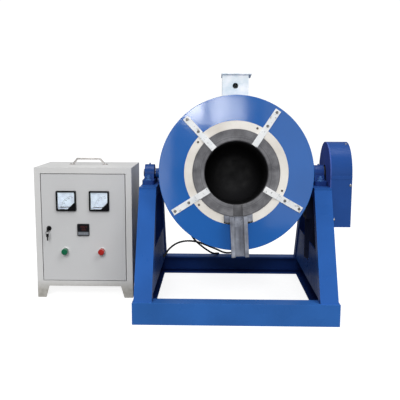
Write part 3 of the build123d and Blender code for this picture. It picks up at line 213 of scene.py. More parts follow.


def paint(name, colour, rough=0.3, vary=0.12, peel=0.12, edge=1.5, gloss=0.3, hollow_shade=0.0, patch=5):
    """Sprayed enamel: uneven film, fine orange peel, dust, and paler edges that are part wear, part painted
    highlight.

    With a share for the hollows, the enamel is rougher and darker in hollows and corners; the darkening is painted
    shade."""
    mat, tree, shader, vector = new_material(name)
    base = add_mottling(tree, add_noise(tree, vector, patch), colour, 1 - vary, 1 + vary)
    # paler edges: part wear, part painted highlight where rounded edges catch the light
    edge_wear_and_highlight = add_mix(tree, edge_mask(tree, 0.0015), base, tint(colour, edge))
    dust_and_shade = add_range(tree, add_noise(tree, vector, 60, 8), 0, 0.25, start=0.62, end=0.8)
    final = add_mix(tree, dust_and_shade, edge_wear_and_highlight, tint(colour, 1.25))
    film = add_range(tree, add_noise(tree, vector, 14, 6), rough * 0.8, rough * 1.25)
    if hollow_shade:
        # painted shade: ambient occlusion darkens the enamel in hollows, corners and between parts
        hollow = add_node(tree, "AmbientOcclusion", {"Distance": SHADE_REACH})
        hollow.samples = 8
        shade_share = add_range(tree, hollow.outputs["AO"], hollow_shade, 0, start=0.22, end=0.5)
        final = add_mix(tree, shade_share, final, PAINTED_SHADE_BLUE)
        film = add_maths(tree, "Math", "MAXIMUM", film, shade_share)
    orange_peel = add_bump(tree, add_noise(tree, vector, 420, 2), peel, 0.0004)
    fill(tree, shader, {"Base Color": final, "Roughness": film, "Normal": orange_peel,
                        "Specular IOR Level": gloss})
    return mat


def metal(name, colour, rough=0.35, spangle=0.0, bare=1.0, flecks=0.0):
    """Bare metal with fine scratches, stains and, on zinc, large crystals and dull flecks.

    bare is how metallic it looks: weathered zinc is partly chalky."""
    mat, tree, shader, vector = new_material(name)
    base = add_mottling(tree, add_noise(tree, vector, 18, 8), colour, 0.85, 1.15)
    if spangle:
        tone = add_range(tree, add_cells(tree, vector, 110).outputs["Color"], 0, spangle,
                         start=0, end=1)
        base = add_mix(tree, tone, base, tint(colour, 0.55))
        base = add_mix(tree, edge_mask(tree, 0.0012), base, tint(colour, 0.45))
    if flecks:
        spots = add_range(tree, add_noise(tree, vector, 95, 5), 0, flecks, start=0.58, end=0.66)
        base = add_mix(tree, spots, base, tint(colour, 0.3))
    scratches = add_noise(tree, vector, 150, 6)
    fill(tree, shader, {"Base Color": base, "Metallic": bare,
                        "Roughness": add_range(tree, scratches, rough * 0.7, rough * 1.4),
                        "Normal": add_bump(tree, scratches, 0.12, 0.0003)})
    return mat


def plastic(name, colour, rough=0.4, coat=0.0, grain=900, bump=0.08, gloss=0.5):
    """Moulded plastic or rubber with a fine grain and slight handling marks."""
    mat, tree, shader, vector = new_material(name)
    handled = add_noise(tree, vector, 70, 6)
    fill(tree, shader, {
        "Base Color": add_mottling(tree, add_noise(tree, vector, 45, 5), colour, 0.85, 1.2),
        "Roughness": add_range(tree, handled, rough * 0.8, rough * 1.2),
        "Normal": add_bump(tree, add_noise(tree, vector, grain, 2), bump, 0.0002),
        "Coat Weight": coat, "Specular IOR Level": gloss})
    return mat


def graphite(name, bore_from=None, cast=(1.0, 1.0, 1.0), grain=None):
    """Machined graphite: dark grey, mottled, with pores, scuffs and faint tool marks.

    Further into the drum than bore_from, along the drum's axis, it turns near black: painted shade in the
    crucible's bore.
    Its marks run along the piece with grain, the noise's stretch, and round the drum without."""
    mat, tree, shader, vector = new_material(name)
    tones = [(0.28, (0.1, 0.1, 0.109)), (0.5, (0.175, 0.175, 0.188)), (0.72, (0.265, 0.265, 0.28))]
    base = add_ramp(tree, add_noise(tree, vector, 26, 9),
                    [(place, tuple(c * k for c, k in zip(tone, cast))) for place, tone in tones])
    scuffs = add_range(tree, add_noise(tree, vector, 90, 10), 0, 0.6, start=0.56, end=0.75)
    base = add_mix(tree, scuffs, base, (0.25, 0.25, 0.265))
    marks = add_noise(tree, vector, 130, 5, grain) if grain else tool_marks(tree, vector)
    furrows = add_range(tree, marks, 0, 0.55, start=0.5, end=0.72)
    base = add_mix(tree, furrows, base, (0.055, 0.055, 0.06))
    final = add_mix(tree, edge_mask(tree, 0.0018), base, (0.3, 0.3, 0.31))
    if bore_from is not None:
        # painted shade: near black deeper in the bore
        outward = add_maths(tree, "VectorMath", "DOT_PRODUCT", vector, OUT)
        bore_shade = add_range(tree, outward, 1, 0, start=bore_from - 0.05, end=bore_from - 0.004)
        final = add_mix(tree, bore_shade, final, (0.02, 0.02, 0.022))
    turned = add_bump(tree, marks, 0.5, 0.0003)
    fill(tree, shader, {
        "Base Color": final, "Metallic": 0.15,
        "Roughness": add_range(tree, add_noise(tree, vector, 35, 8), 0.5, 0.75),
        "Normal": add_bump(tree, add_noise(tree, vector, 260, 8), 0.35, 0.0006, turned)})
    return mat


def ceramic(name, light, dark, pits=0.5, rough=0.85):
    """Fired or cast refractory: matt, slightly stained, with sand grains and pits."""
    mat, tree, shader, vector = new_material(name)
    stains = add_noise(tree, vector, 11, 8)
    grains = add_range(tree, add_noise(tree, vector, 330, 4), 0, 0.35, start=0.55, end=0.8)
    holes = add_cells(tree, vector, 190).outputs["Distance"]
    hollow = add_range(tree, holes, 0, 1, start=0.05, end=0.3)
    base = add_ramp(tree, stains, [(0.32, dark), (0.62, light)])
    fill(tree, shader, {
        "Base Color": add_mix(tree, grains, base, tint(dark, 0.8)),
        "Roughness": add_range(tree, stains, rough * 0.9, min(1, rough * 1.1)),
        "Normal": add_bump(tree, hollow, pits, 0.0006)})
    return mat


def glass(name):
    """Thin clear cover with faint smears."""
    mat, tree, shader, vector = new_material(name)
    smears = add_range(tree, add_noise(tree, vector, 60, 5), 0.02, 0.12)
    fill(tree, shader, {"Base Color": (0.95, 0.97, 1.0, 1), "Transmission Weight": 1.0,
                        "IOR": 1.15, "Roughness": smears})
    return mat


def lit(name, colour, strength):
    """Lamp colour of a display's segments, uneven like a real one."""
    mat, tree, shader, vector = new_material(name)
    tone = add_mottling(tree, add_noise(tree, vector, 300, 3), colour, 0.7, 1)
    fill(tree, shader, {"Base Color": tone, "Emission Color": tone, "Emission Strength": strength})
    return mat


def painted_shaft(name, colour, reach):
    """Turned steel, which is under the enamel up to reach from the drum's middle."""
    mat = paint(name, colour, rough=0.32)
    tree = mat.node_tree
    shader = tree.nodes["Principled BSDF"]
    right = add_maths(tree, "Math", "SUBTRACT", coordinate(tree, "X"), AXIS_POINT.x)
    away = add_maths(tree, "Math", "ABSOLUTE", right)
    bare = add_range(tree, away, 0, 1, start=reach - 0.0004, end=reach + 0.0004)
    enamel = shader.inputs["Base Color"].links[0].from_socket
    steel = add_ramp(tree, add_noise(tree, object_place(tree), 160, 6, (0.2, 1, 1)),
                     [(0.3, (0.06, 0.06, 0.07)), (0.7, (0.17, 0.17, 0.18))])
    fill(tree, shader, {"Base Color": add_mix(tree, bare, enamel, steel), "Metallic": bare})
    return mat


def with_shaded_feet(source):
    """Copy of the cabinet's finish that turns darker and beige near the floor: painted shade."""
    mat = source.copy()
    mat.name = "feet_shaded_powder_coat"
    tree = mat.node_tree
    shader = tree.nodes["Principled BSDF"]
    # painted shade: darker and beige towards the floor
    low = add_range(tree, coordinate(tree, "Z"), 0.92, 0, start=0.03, end=0.075)
    unshaded = shader.inputs["Base Color"].links[0].from_socket
    dust_and_shade = add_ramp(tree, add_noise(tree, object_place(tree), 70, 8),
                    [(0.35, (0.36, 0.345, 0.31)), (0.65, (0.47, 0.455, 0.42))])
    fill(tree, shader, {"Base Color": add_mix(tree, low, unshaded, dust_and_shade)})
    return mat


STAND_BLUE = (0.022, 0.104, 0.375)
# painted light: the front beam gets a paler copy of the stand enamel
LIT_BEAM_BLUE = (0.030, 0.132, 0.43)
# painted shade: darker copies of the stand enamel for the guard, its top darkest
SHADED_GUARD_BLUE = (0.020, 0.080, 0.31)
SHADED_GUARD_TOP_BLUE = (0.016, 0.066, 0.26)
GUARD_INNER_BLUE = (0.065, 0.11, 0.36)
DRUM_BLUE = (0.011, 0.112, 0.41)
SHADED_BLUE = (0.012, 0.058, 0.235)     # trunnions and bearings, in the drum's shade
NUT_BLUE = (0.05, 0.13, 0.36)
DRIVE_SHADE = (0.012, 0.016, 0.04)       # gearbox and motor, deep behind the guard: near black, as painted shade
MATERIALS = {
    "stand_paint": paint("stand_enamel", STAND_BLUE, rough=0.3, gloss=0.18, hollow_shade=0.93),
    "drum_paint": paint("drum_enamel", DRUM_BLUE, rough=0.085, vary=0.06, peel=0.02, gloss=0.5),
    "gearbox_paint": paint("gearbox_enamel", (0.05, 0.09, 0.2), rough=0.45, peel=0.3),
    "shaft_steel": metal("turned_steel", (0.42, 0.43, 0.45), 0.3),
    "gear_iron": metal("dark_gear_steel", (0.05, 0.05, 0.055), 0.35),
    "zinc_steel": metal("zinc_plated_steel", (0.62, 0.61, 0.58), 0.3),
    "strap_steel": metal("galvanised_strip", (0.93, 0.97, 1.0), 0.4, spangle=0.22, bare=0.18,
                         flecks=0.7),
    "ceramic_fibre": ceramic("ceramic_fibre_felt", (0.8, 0.78, 0.75), (0.7, 0.67, 0.62), 0.3,
                             0.95),
    "fire_brick": ceramic("fire_brick", (0.79, 0.7, 0.55), (0.62, 0.5, 0.36)),
    "white_refractory": ceramic("cast_refractory", (0.86, 0.83, 0.78), (0.72, 0.68, 0.62)),
    "element_alloy": metal("oxidised_heating_alloy", (0.22, 0.19, 0.17), 0.6),
    "graphite": graphite("machined_graphite"),
    # its large lighter and darker patches are painted reflections
    "terminal_box_paint": paint("pale_blue_enamel_painted_reflections", (0.82, 0.95, 1.0), rough=0.22, vary=0.22,
                                edge=0.7, patch=24),
    "black_plastic": plastic("black_moulding", (0.004, 0.004, 0.005), 0.35, gloss=0.12),
    "cable_rubber": plastic("cable_wrap", (0.006, 0.006, 0.007), 0.35),
    "cabinet_paint": paint("grey_powder_coat", (0.69, 0.69, 0.685), rough=0.5, vary=0.03,
                           peel=0.35, edge=1.15),
    "handle_steel": metal("handle_rod", (0.66, 0.63, 0.61), 0.3, bare=0.7),
    "heat_sink_aluminium": metal("anodised_aluminium", (0.55, 0.56, 0.57), 0.4),
    "contactor_plastic": plastic("contactor_moulding", (0.05, 0.05, 0.055), 0.6),
    "dial_white": plastic("dial_card", (0.72, 0.79, 0.88), 0.6, grain=500, bump=0.03),
    "meter_glass": glass("meter_cover"),
    "needle_black": metal("needle_lacquer", (0.02, 0.02, 0.02), 0.4),
    "controller_plastic": plastic("controller_moulding", (0.008, 0.008, 0.01), 0.35, gloss=0.2),
    "bezel_chrome": metal("bezel_plating", (0.9, 0.9, 0.89), 0.2, bare=0.45),
    "green_cap": plastic("green_cap", (0.0, 0.115, 0.05), 0.3, coat=0.2),
    "red_cap": plastic("red_cap", (0.36, 0.012, 0.008), 0.3, coat=0.2),
    "lock_black": plastic("lock_lacquer", (0.005, 0.005, 0.006), 0.2, gloss=0.35),
    "key_steel": plastic("blackened_key", (0.005, 0.005, 0.006), 0.3, gloss=0.2),
}
DISPLAY_RED = lit("display_segments", (0.16, 0.03, 0.025), 0.12)
INK = plastic("dial_ink", (0.09, 0.1, 0.12), 0.6)
KEYPAD = plastic("keypad_foil", (0.15, 0.165, 0.185), 0.4)
KEY_CAP = plastic("keypad_button", (0.22, 0.24, 0.27), 0.4)
SCREW_BRIGHT = metal("bright_screw", (0.7, 0.7, 0.7), 0.25)
SCREW_DARK = metal("dark_screw", (0.3, 0.29, 0.28), 0.4)

SLOT_OF = {part["node"]: part["material_slot"] for part in frame["record"]["subparts"]}
BEARING_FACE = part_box("right_bearing_housing")[0].x - AXIS_POINT.x
PAINTED_SHAFT = painted_shaft("trunnion_enamel", SHADED_BLUE, BEARING_FACE)
BEARING_PAINT = paint("bearing_enamel", SHADED_BLUE, rough=0.3, gloss=0.3, hollow_shade=0.8)
RIM_OUT = (AXIS_POINT + OUT * DRUM_HALF).dot(OUT)       # the drum's front, along its axis
OWN_MATERIAL = {
    "left_trunnion": PAINTED_SHAFT,
    "right_trunnion": PAINTED_SHAFT,
    # painted light: a paler copy of the stand enamel
    "front_beam": paint("lit_beam_enamel", LIT_BEAM_BLUE, rough=0.3, gloss=0.18, hollow_shade=0.93),
    "left_bearing_housing": BEARING_PAINT,
    "right_bearing_housing": BEARING_PAINT,
    "crucible": graphite("crucible_graphite", RIM_OUT),
    "pouring_spout": graphite("spout_graphite", cast=(1.45, 1.55, 1.72), grain=(1, 1, 0.05)),
    # painted shade: the inner rings near black, for the shade between housing and trunnion
    "bearing_inner_rings": metal("shade_darkened_steel", (0.035, 0.04, 0.06), 0.5),
    # edges four times paler: part wear, part painted highlight
    "frame_fasteners": paint("painted_nuts", NUT_BLUE, rough=0.35, edge=4.0, gloss=0.3),
    # painted shade: darker copies of the stand enamel for the guard and its top
    "gear_guard_lower": paint("shaded_guard_enamel", SHADED_GUARD_BLUE, rough=0.3, gloss=0.25),
    "gear_guard_upper": paint("shaded_guard_top_enamel", SHADED_GUARD_TOP_BLUE, rough=0.3, gloss=0.2),
    "worm_gearbox": paint("shaded_gearbox_enamel", DRIVE_SHADE, rough=0.6, gloss=0.1),
    "tilt_motor": paint("shaded_motor_enamel", DRIVE_SHADE, rough=0.6, gloss=0.1),
    "guard_back_plate": paint("guard_inner_enamel", GUARD_INNER_BLUE, rough=0.6, gloss=0.03),
    "cabinet_body": with_shaded_feet(MATERIALS["cabinet_paint"]),
    "cabinet_door": paint("door_powder_coat", (0.61, 0.613, 0.62), rough=0.5, vary=0.03,
                          peel=0.35, edge=1.2),
}
for node_name, node in NODES.items():
    material = OWN_MATERIAL.get(node_name, MATERIALS[SLOT_OF[node_name]])
    for slot in node.material_slots:
        slot.material = material


# ================================================================ mesh helpers
def add_object(name, data):
    """New object in the scene, for a mesh, text, light or camera."""
    made = bpy.data.objects.new(name, data)
    SCENE.collection.objects.link(made)
    return made


def mesh_object(bm, name, material, smooth):
    """Object from a bmesh, which is used up."""
    bmesh.ops.recalc_face_normals(bm, faces=bm.faces)
    mesh = bpy.data.meshes.new(name)
    bm.to_mesh(mesh)
    bm.free()
    mesh.materials.append(material)
    for face in mesh.polygons:
        face.use_smooth = smooth
    return add_object(name, mesh)


def piece_from(bm, name, body, material, bevel=0.0, smooth=True):
    """Turn a bmesh into a piece that rides on a body and takes a slot's finish."""
    piece = mesh_object(bm, name, material, smooth)
    if smooth:
        piece.modifiers.new("edges", "EDGE_SPLIT").split_angle = radians(35)
    if bevel:
        round_off = piece.modifiers.new("round", "BEVEL")
        round_off.width = bevel
        round_off.segments = 2
        round_off.limit_method = "ANGLE"
    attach(piece, body)
    return piece


def circle(radius, count):
    return [(radius * cos(2 * pi * i / count), radius * sin(2 * pi * i / count))
            for i in range(count)]


def add_ring(bm, matrix, outline, height):
    """Vertices of an outline in the matrix's x-y plane, lifted along its z."""
    return [bm.verts.new(matrix @ Vector((x, y, height))) for x, y in outline]


def bridge(bm, low, high):
    """Faces between two rings of vertices; either can be a single point."""
    count = max(len(low), len(high))
    for i in range(count):
        j = (i + 1) % count
        corners = (low[i % len(low)], low[j % len(low)], high[j % len(high)], high[i % len(high)])
        bm.faces.new(list(dict.fromkeys(corners)))


def add_prism(bm, matrix, outline, depth):
    """Outline in the matrix's x-y plane, grown along its z."""
    low = add_ring(bm, matrix, outline, 0)
    high = add_ring(bm, matrix, outline, depth)
    bm.faces.new(low[::-1])
    bm.faces.new(high)
    bridge(bm, low, high)


def add_block(bm, matrix, x, y, width, height, depth):
    """Block whose foot is centred at x, y."""
    w, h = width / 2, height / 2
    add_prism(bm, matrix, [(x - w, y - h), (x + w, y - h), (x + w, y + h), (x - w, y + h)], depth)


def add_lathe(bm, matrix, profile, count):
    """Profile of (radius, height) turned about the matrix's z; ends at radius 0 close it."""
    rings = [add_ring(bm, matrix, circle(radius, count) if radius else [(0, 0)], height)
             for radius, height in profile]
    for low, high in zip(rings, rings[1:]):
        bridge(bm, low, high)


SCREW_SLOT = 0.3            # radians of the rim left out at each end of the slot
SCREW_SPREAD = 0.028        # how far each half dome stands off the middle, in radii
SCREW_CROWN = 0.72          # top of the dome, in radii
SCREW_SHOULDER = 0.55       # where the dome starts, in heights
SCREW_STEPS = 12


def add_screw(bm, matrix, radius, height, slot_turn=0.4):
    """Pan head with a slot across it: two half domes over a lower disc, with a gap between."""
    for side in (-1, 1):
        middle = slot_turn + side * pi / 2
        shift = Vector((cos(middle), sin(middle))) * radius * SCREW_SPREAD
        outline = []
        for step in range(SCREW_STEPS + 1):
            angle = middle + (step / SCREW_STEPS - 0.5) * (pi - SCREW_SLOT)
            outline.append(Vector((cos(angle), sin(angle))) * radius + shift)
        crown = [point * SCREW_CROWN + shift for point in outline]
        low = add_ring(bm, matrix, outline, 0)
        shoulder = add_ring(bm, matrix, outline, height * SCREW_SHOULDER)
        top = add_ring(bm, matrix, crown, height)
        bridge(bm, low, shoulder)
        bridge(bm, shoulder, top)
        bm.faces.new(top)
        bm.faces.new(low[::-1])
    disc_top = height * 0.5         # which is the bottom of the slot
    disc = [(0, 0), (radius * 0.93, 0), (radius * 0.9, disc_top), (0, disc_top)]
    add_lathe(bm, matrix, disc, 16)


# ================================================================ meters
METERS = {"left": Vector(JOINTS["left_needle_swing"]["pos_m"]),
          "right": Vector(JOINTS["right_needle_swing"]["pos_m"])}
FULL_SCALE = {"left": 400, "right": 100}
DIAL_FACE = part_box("meter_dials")[0].y
SCALE_R = 0.0425
SCALE_ZERO, SCALE_SWEEP = 178, -86      # degrees from the right
INK_T = 0.00015
LINE_W = 0.0005
TICKS, TICKS_IN_STEP = 20, 5
LONG_TICK, SHORT_TICK = 0.0042, 0.0022
UNIT_BAR = (-0.037, -0.002, 0.022, 0.0012)      # x, y, width, height of the bar under the scale
NUMBER_SIZE = 0.0058
NUMBER_IN = 0.0052                  # numbers stand this far inside the scale
NUMBER_LIFT = 0.0001
NUMBER_T = 0.00006


def scale_angle(share):
    """Angle on the dial, from the right, at a share of the full scale."""
    return radians(SCALE_ZERO + SCALE_SWEEP * share)


def add_arc(bm, matrix, radius, width, start, end, steps, depth):
    """Flat strip along an arc, inwards from its radius."""
    turns = [start + (end - start) * i / steps for i in range(steps + 1)]
    outer = [(radius * cos(turn), radius * sin(turn)) for turn in turns]
    inner = [((radius - width) * cos(turn), (radius - width) * sin(turn)) for turn in turns[::-1]]
    add_prism(bm, matrix, outer + inner, depth)


for side, pivot in METERS.items():
    marks = bmesh.new()
    on_dial = upright_frame(pivot.x, DIAL_FACE, pivot.z)
    add_arc(marks, on_dial, SCALE_R, LINE_W, scale_angle(1), scale_angle(0), 24, INK_T)
    for tick in range(TICKS + 1):
        length = SHORT_TICK if tick % TICKS_IN_STEP else LONG_TICK
        turned = on_dial @ Matrix.Rotation(scale_angle(tick / TICKS), 4, "Z")
        add_block(marks, turned, SCALE_R + length / 2, 0, length, LINE_W, INK_T)
    add_block(marks, on_dial, *UNIT_BAR, INK_T)
    piece_from(marks, f"{side}_meter_scale", "door", INK, smooth=False)
    steps = TICKS // TICKS_IN_STEP
    for step in range(steps + 1):
        number = bpy.data.curves.new(f"{side}_meter_number_{step}", "FONT")
        number.body = str(FULL_SCALE[side] * step // steps)
        number.size = NUMBER_SIZE
        number.align_x = "CENTER"
        number.align_y = "CENTER"
        number.extrude = NUMBER_T
        number.materials.append(INK)
        text = add_object(f"{side}_meter_number_{step}", number)
        angle = scale_angle(step / steps)
        radius = SCALE_R - NUMBER_IN
        spot = Vector((radius * cos(angle), radius * sin(angle), NUMBER_LIFT))
        text.matrix_world = on_dial @ Matrix.Translation(spot)
        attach(text, "door")


# ================================================================ temperature controller
SEGMENTS = {"0": "abcdef", "1": "bc", "4": "fgbc", "6": "afgedc", "8": "abcdefg"}
SEGMENT_T = 0.0003
SEGMENT_W = 0.2                     # share of a figure's width
SEGMENT_GAP = 1.3                   # taken off a bar's length, in its widths
DISPLAY_RECESS = 0.0012
DISPLAY_ROWS = (                    # figures, x of the first, y, pitch, width and height
    ("1064", -0.0123, 0.0115, 0.0082, 0.0042, 0.0085),
    ("1080", -0.0088, 0.0005, 0.0058, 0.0029, 0.0054),
)
KEYPAD_Y, KEYPAD_W, KEYPAD_H, KEYPAD_T = -0.0145, 0.044, 0.0135, 0.0006
KEYS, KEY_X, KEY_PITCH, KEY_SIZE, KEY_T = 4, -0.0135, 0.009, 0.0062, 0.0008
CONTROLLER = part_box("temperature_controller")
CONTROLLER_FACE = upright_frame((CONTROLLER[0].x + CONTROLLER[1].x) / 2, CONTROLLER[0].y,
                                (CONTROLLER[0].z + CONTROLLER[1].z) / 2)


def add_digit(bm, matrix, x, y, digit, width, height):
    """Seven-segment figure."""
    thick = width * SEGMENT_W
    half = height / 2
    bars = {"a": (0, half, True), "g": (0, 0, True), "d": (0, -half, True),
            "f": (-width / 2, half / 2, False), "b": (width / 2, half / 2, False),
            "e": (-width / 2, -half / 2, False), "c": (width / 2, -half / 2, False)}
    for name in SEGMENTS[digit]:
        dx, dy, flat = bars[name]
        long_side = (width if flat else half) - thick * SEGMENT_GAP
        size = (long_side, thick) if flat else (thick, long_side)
        add_block(bm, matrix, x + dx, y + dy, *size, SEGMENT_T)


display = bmesh.new()
recessed = CONTROLLER_FACE @ Matrix.Translation((0, 0, -DISPLAY_RECESS))
for figures, first_x, y, pitch, width, height in DISPLAY_ROWS:
    for index, digit in enumerate(figures):
        add_digit(display, recessed, first_x + pitch * index, y, digit, width, height)
piece_from(display, "controller_digits", "door", DISPLAY_RED, smooth=False)

keypad = bmesh.new()
add_block(keypad, CONTROLLER_FACE, 0, KEYPAD_Y, KEYPAD_W, KEYPAD_H, KEYPAD_T)
piece_from(keypad, "controller_keypad", "door", KEYPAD, bevel=0.0003,
           smooth=False)
keys = bmesh.new()
on_keypad = CONTROLLER_FACE @ Matrix.Translation((0, 0, KEYPAD_T))
for index in range(KEYS):
    add_block(keys, on_keypad, KEY_X + KEY_PITCH * index, KEYPAD_Y, KEY_SIZE, KEY_SIZE, KEY_T)
piece_from(keys, "controller_keys", "door", KEY_CAP, bevel=0.0004,
           smooth=False)


# ================================================================ small fasteners and trim
# a screw is the radius and the height of its head
STRAP_SCREW = (0.0052, 0.0032)
GUARD_SCREW = (0.005, 0.0035)
GUARD_TOP_SCREW = (0.005, 0.003)
HANDLE_SCREW = (0.0038, 0.0022)

STRAP_ANGLES = (56.5, 133, 212.5, 330.5)
STRAP_SCREW_RADII = (0.203, 0.262)
STRAP_T = 0.003
strap_heads = bmesh.new()
for number, strap in enumerate(STRAP_ANGLES):
    for radius in STRAP_SCREW_RADII:
        add_screw(strap_heads, drum_face_frame(radius, strap, STRAP_T), *STRAP_SCREW,
                  slot_turn=0.5 + number)
screws_piece = piece_from(strap_heads, "strap_screw_heads", "drum", SCREW_DARK)
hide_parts("strap_screws")

RING_PIN_TURN = 8.5                 # degrees on from each strap
RING_PIN_PCD_R = 0.178
PIN_R, PIN_DEPTH = 0.0024, 0.004
PIN_HEAD_R, PIN_HEAD_FOOT, PIN_HEAD_SIDE, PIN_HEAD_TOP = 0.0042, 0.0001, 0.0011, 0.0013
PIN_HEAD_TAPER = 0.0004
RING_PIN = [(0, -PIN_DEPTH), (PIN_R, -PIN_DEPTH), (PIN_R, PIN_HEAD_FOOT),
            (PIN_HEAD_R, PIN_HEAD_FOOT), (PIN_HEAD_R - PIN_HEAD_TAPER, PIN_HEAD_SIDE),
            (0, PIN_HEAD_TOP)]
pins = bmesh.new()
for strap in STRAP_ANGLES:
    add_lathe(pins, drum_face_frame(RING_PIN_PCD_R, strap + RING_PIN_TURN), RING_PIN, 12)
piece_from(pins, "ring_pins", "drum", MATERIALS["element_alloy"])

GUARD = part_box("gear_guard_lower")
GUARD_SIDES = ((GUARD[0].y, -1), (GUARD[1].y, 1))       # front and back, and which way out
SEAM_H, SEAM_T = 0.014, 0.0012
seam = bmesh.new()
for y, outward in GUARD_SIDES:
    face = upright_frame((GUARD[0].x + GUARD[1].x) / 2, y, AXIS_POINT.z, outward)
    add_block(seam, face, 0, 0, GUARD[1].x - GUARD[0].x, SEAM_H, SEAM_T)
piece_from(seam, "guard_seam_strips", "stand", OWN_MATERIAL["gear_guard_lower"],
           bevel=0.0004, smooth=False)

GUARD_SCREW_PLACES = ((0.557, 0.343), (0.616, 0.4756))      # x, z on the guard's two sides
GUARD_TOP_SCREW_X = 0.611
GUARD_TOP_SCREW_TURNS = (70, 110)       # degrees up round the guard, from the front
guard_screws = bmesh.new()
for x, z in GUARD_SCREW_PLACES:
    for y, outward in GUARD_SIDES:
        add_screw(guard_screws, upright_frame(x, y, z, outward), *GUARD_SCREW)
for turn in GUARD_TOP_SCREW_TURNS:
    normal = Vector((0, -cos(radians(turn)), sin(radians(turn))))
    place = Vector((GUARD_TOP_SCREW_X, 0, AXIS_POINT.z)) + normal * GUARD[1].y
    add_screw(guard_screws, frame_of(place, X, normal.cross(X)), *GUARD_TOP_SCREW)
piece_from(guard_screws, "guard_screws", "stand", SCREW_BRIGHT)


# ================================================================ side plates of the stand
# they stand on the rails between the legs and close the stand's sides
PLATE_T = 0.004
PLATE_IN = 0.012                    # ends of a plate inside the hollow of its legs
PLATE_TOP = 0.235
LEG_W = 0.065
LEG_WALL = 0.005
LEG_LEAN = 0.5435                   # a leg leans in by this share of its height
LEG_TIP_Y = 0.3255                  # edge of a rear leg's flanges where it stands on the rail
SEAM_GAP = 0.0002
RAIL_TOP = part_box("side_rails")[1].z
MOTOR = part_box("tilt_motor")
NOTCH_GAP = 0.006                   # round the motor, which hangs in a notch of the right plate
ARCH_Y, ARCH_Z, ARCH_R = 0.216, 0.098, 0.02     # in the left plate, for the supply cable
ARCH_STEPS = 10
LEG_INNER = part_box("front_legs")[1].x - LEG_W - AXIS_POINT.x
side_plates = bmesh.new()
for side in (-1, 1):
    inner_face = AXIS_POINT.x + side * (LEG_INNER + LEG_WALL + SEAM_GAP)
    face = frame_of(Vector((inner_face, 0, 0)), Y * side, Z)
    foot = LEG_TIP_Y + PLATE_IN
    head = foot - LEG_LEAN * (PLATE_TOP - RAIL_TOP)
    bottom = RAIL_TOP + SEAM_GAP
    notch, arch = [], []
    if side == 1:
        half = MOTOR[1].y + NOTCH_GAP
        low = MOTOR[0].z - NOTCH_GAP
        notch = [(half, PLATE_TOP), (half, low), (-half, low), (-half, PLATE_TOP)]
    else:
        turns = [pi * i / ARCH_STEPS for i in range(ARCH_STEPS + 1)]
        crown = [(-ARCH_Y - ARCH_R * cos(turn), ARCH_Z + ARCH_R * sin(turn)) for turn in turns]
        arch = [(-ARCH_Y - ARCH_R, bottom), *crown, (-ARCH_Y + ARCH_R, bottom)]
    outline = [(-foot, bottom), *arch, (foot, bottom), (head, PLATE_TOP), *notch,
               (-head, PLATE_TOP)]
    add_prism(side_plates, face, outline, PLATE_T)
piece_from(side_plates, "stand_side_plates", "stand", MATERIALS["stand_paint"],
           bevel=0.0008, smooth=False)


# ================================================================ screws of the cabinet's handle
ROOF_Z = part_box("cabinet_body")[1].z
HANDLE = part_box("cabinet_handle")
HANDLE_FOOT_MIDDLE = 0.006          # from the handle's end to the middle of its foot
HANDLE_FOOT_T = 0.0025
handle_screws = bmesh.new()
for x in (HANDLE[0].x + HANDLE_FOOT_MIDDLE, HANDLE[1].x - HANDLE_FOOT_MIDDLE):
    place = Vector((x, (HANDLE[0].y + HANDLE[1].y) / 2, ROOF_Z + HANDLE_FOOT_T))
    add_screw(handle_screws, frame_of(place, X, Y), *HANDLE_SCREW)
piece_from(handle_screws, "handle_screws", "stand", SCREW_DARK)


# ================================================================ cables
CABLE_D = 0.009                     # over the wrap; the solids' tubes are 8 mm
CABLE_STEP = 0.0011                 # between two rings of the drawn tube
CABLE_SIDES = 16
WRAP_PITCH = 0.009                  # one turn of the spiral wrap
WRAP_GROOVE, GROOVE_SHARE = 0.74, 0.3       # depth, in radii, and width, in pitches, of its gap
RELIEF_L = 0.03
RELIEF_R, RELIEF_TAPER, RELIEF_RIB = 0.0072, 0.0021, 0.0006
RELIEF_SIDES = 20
SUPPLY_ROUTE = [
    (-0.210, 0.165, 0.110), (-0.176, 0.165, 0.110), (-0.146, 0.188, 0.103), (-0.127, 0.230, 0.103),
    (-0.117, 0.272, 0.120), (-0.084, 0.292, 0.147), (-0.041, 0.301, 0.159), (0.003, 0.307, 0.157),
    (0.039, 0.312, 0.146), (0.074, 0.319, 0.130), (0.111, 0.332, 0.112), (0.147, 0.350, 0.091),
    (0.186, 0.374, 0.088), (0.222, 0.404, 0.084), (0.246, 0.440, 0.058), (0.246, 0.468, 0.026),
    (0.219, 0.485, 0.0045), (0.181, 0.485, 0.0045),
]
LEAD_ROUTE = [
    (0.001, 0.2607, 0.2931), (0.001, 0.2573, 0.2633), (-0.006, 0.265, 0.226),
    (-0.010, 0.280, 0.190), (0.012, 0.291, 0.160), (0.039, 0.299, 0.135), (0.066, 0.312, 0.112),
    (0.094, 0.333, 0.091), (0.112, 0.364, 0.0865), (0.120, 0.402, 0.076), (0.114, 0.440, 0.058),
    (0.112, 0.470, 0.030), (0.141, 0.485, 0.0045), (0.181, 0.485, 0.0045),
]


def spline_points(route, resolution=14):
    """Points along the NURBS line that a route controls."""
    curve = bpy.data.curves.new("route", "CURVE")
    curve.dimensions = "3D"
    curve.resolution_u = resolution
    spline = curve.splines.new("NURBS")
    spline.points.add(len(route) - 1)
    for point, place in zip(spline.points, route):
        point.co = (*place, 1)
    spline.order_u = 3
    spline.use_endpoint_u = True
    holder = add_object("route", curve)
    bpy.context.view_layer.update()
    evaluated = holder.evaluated_get(bpy.context.evaluated_depsgraph_get())
    line = bpy.data.meshes.new_from_object(evaluated)
    points = [vertex.co.copy() for vertex in line.vertices]
    bpy.data.objects.remove(holder)
    bpy.data.curves.remove(curve)
    bpy.data.meshes.remove(line)
    return points


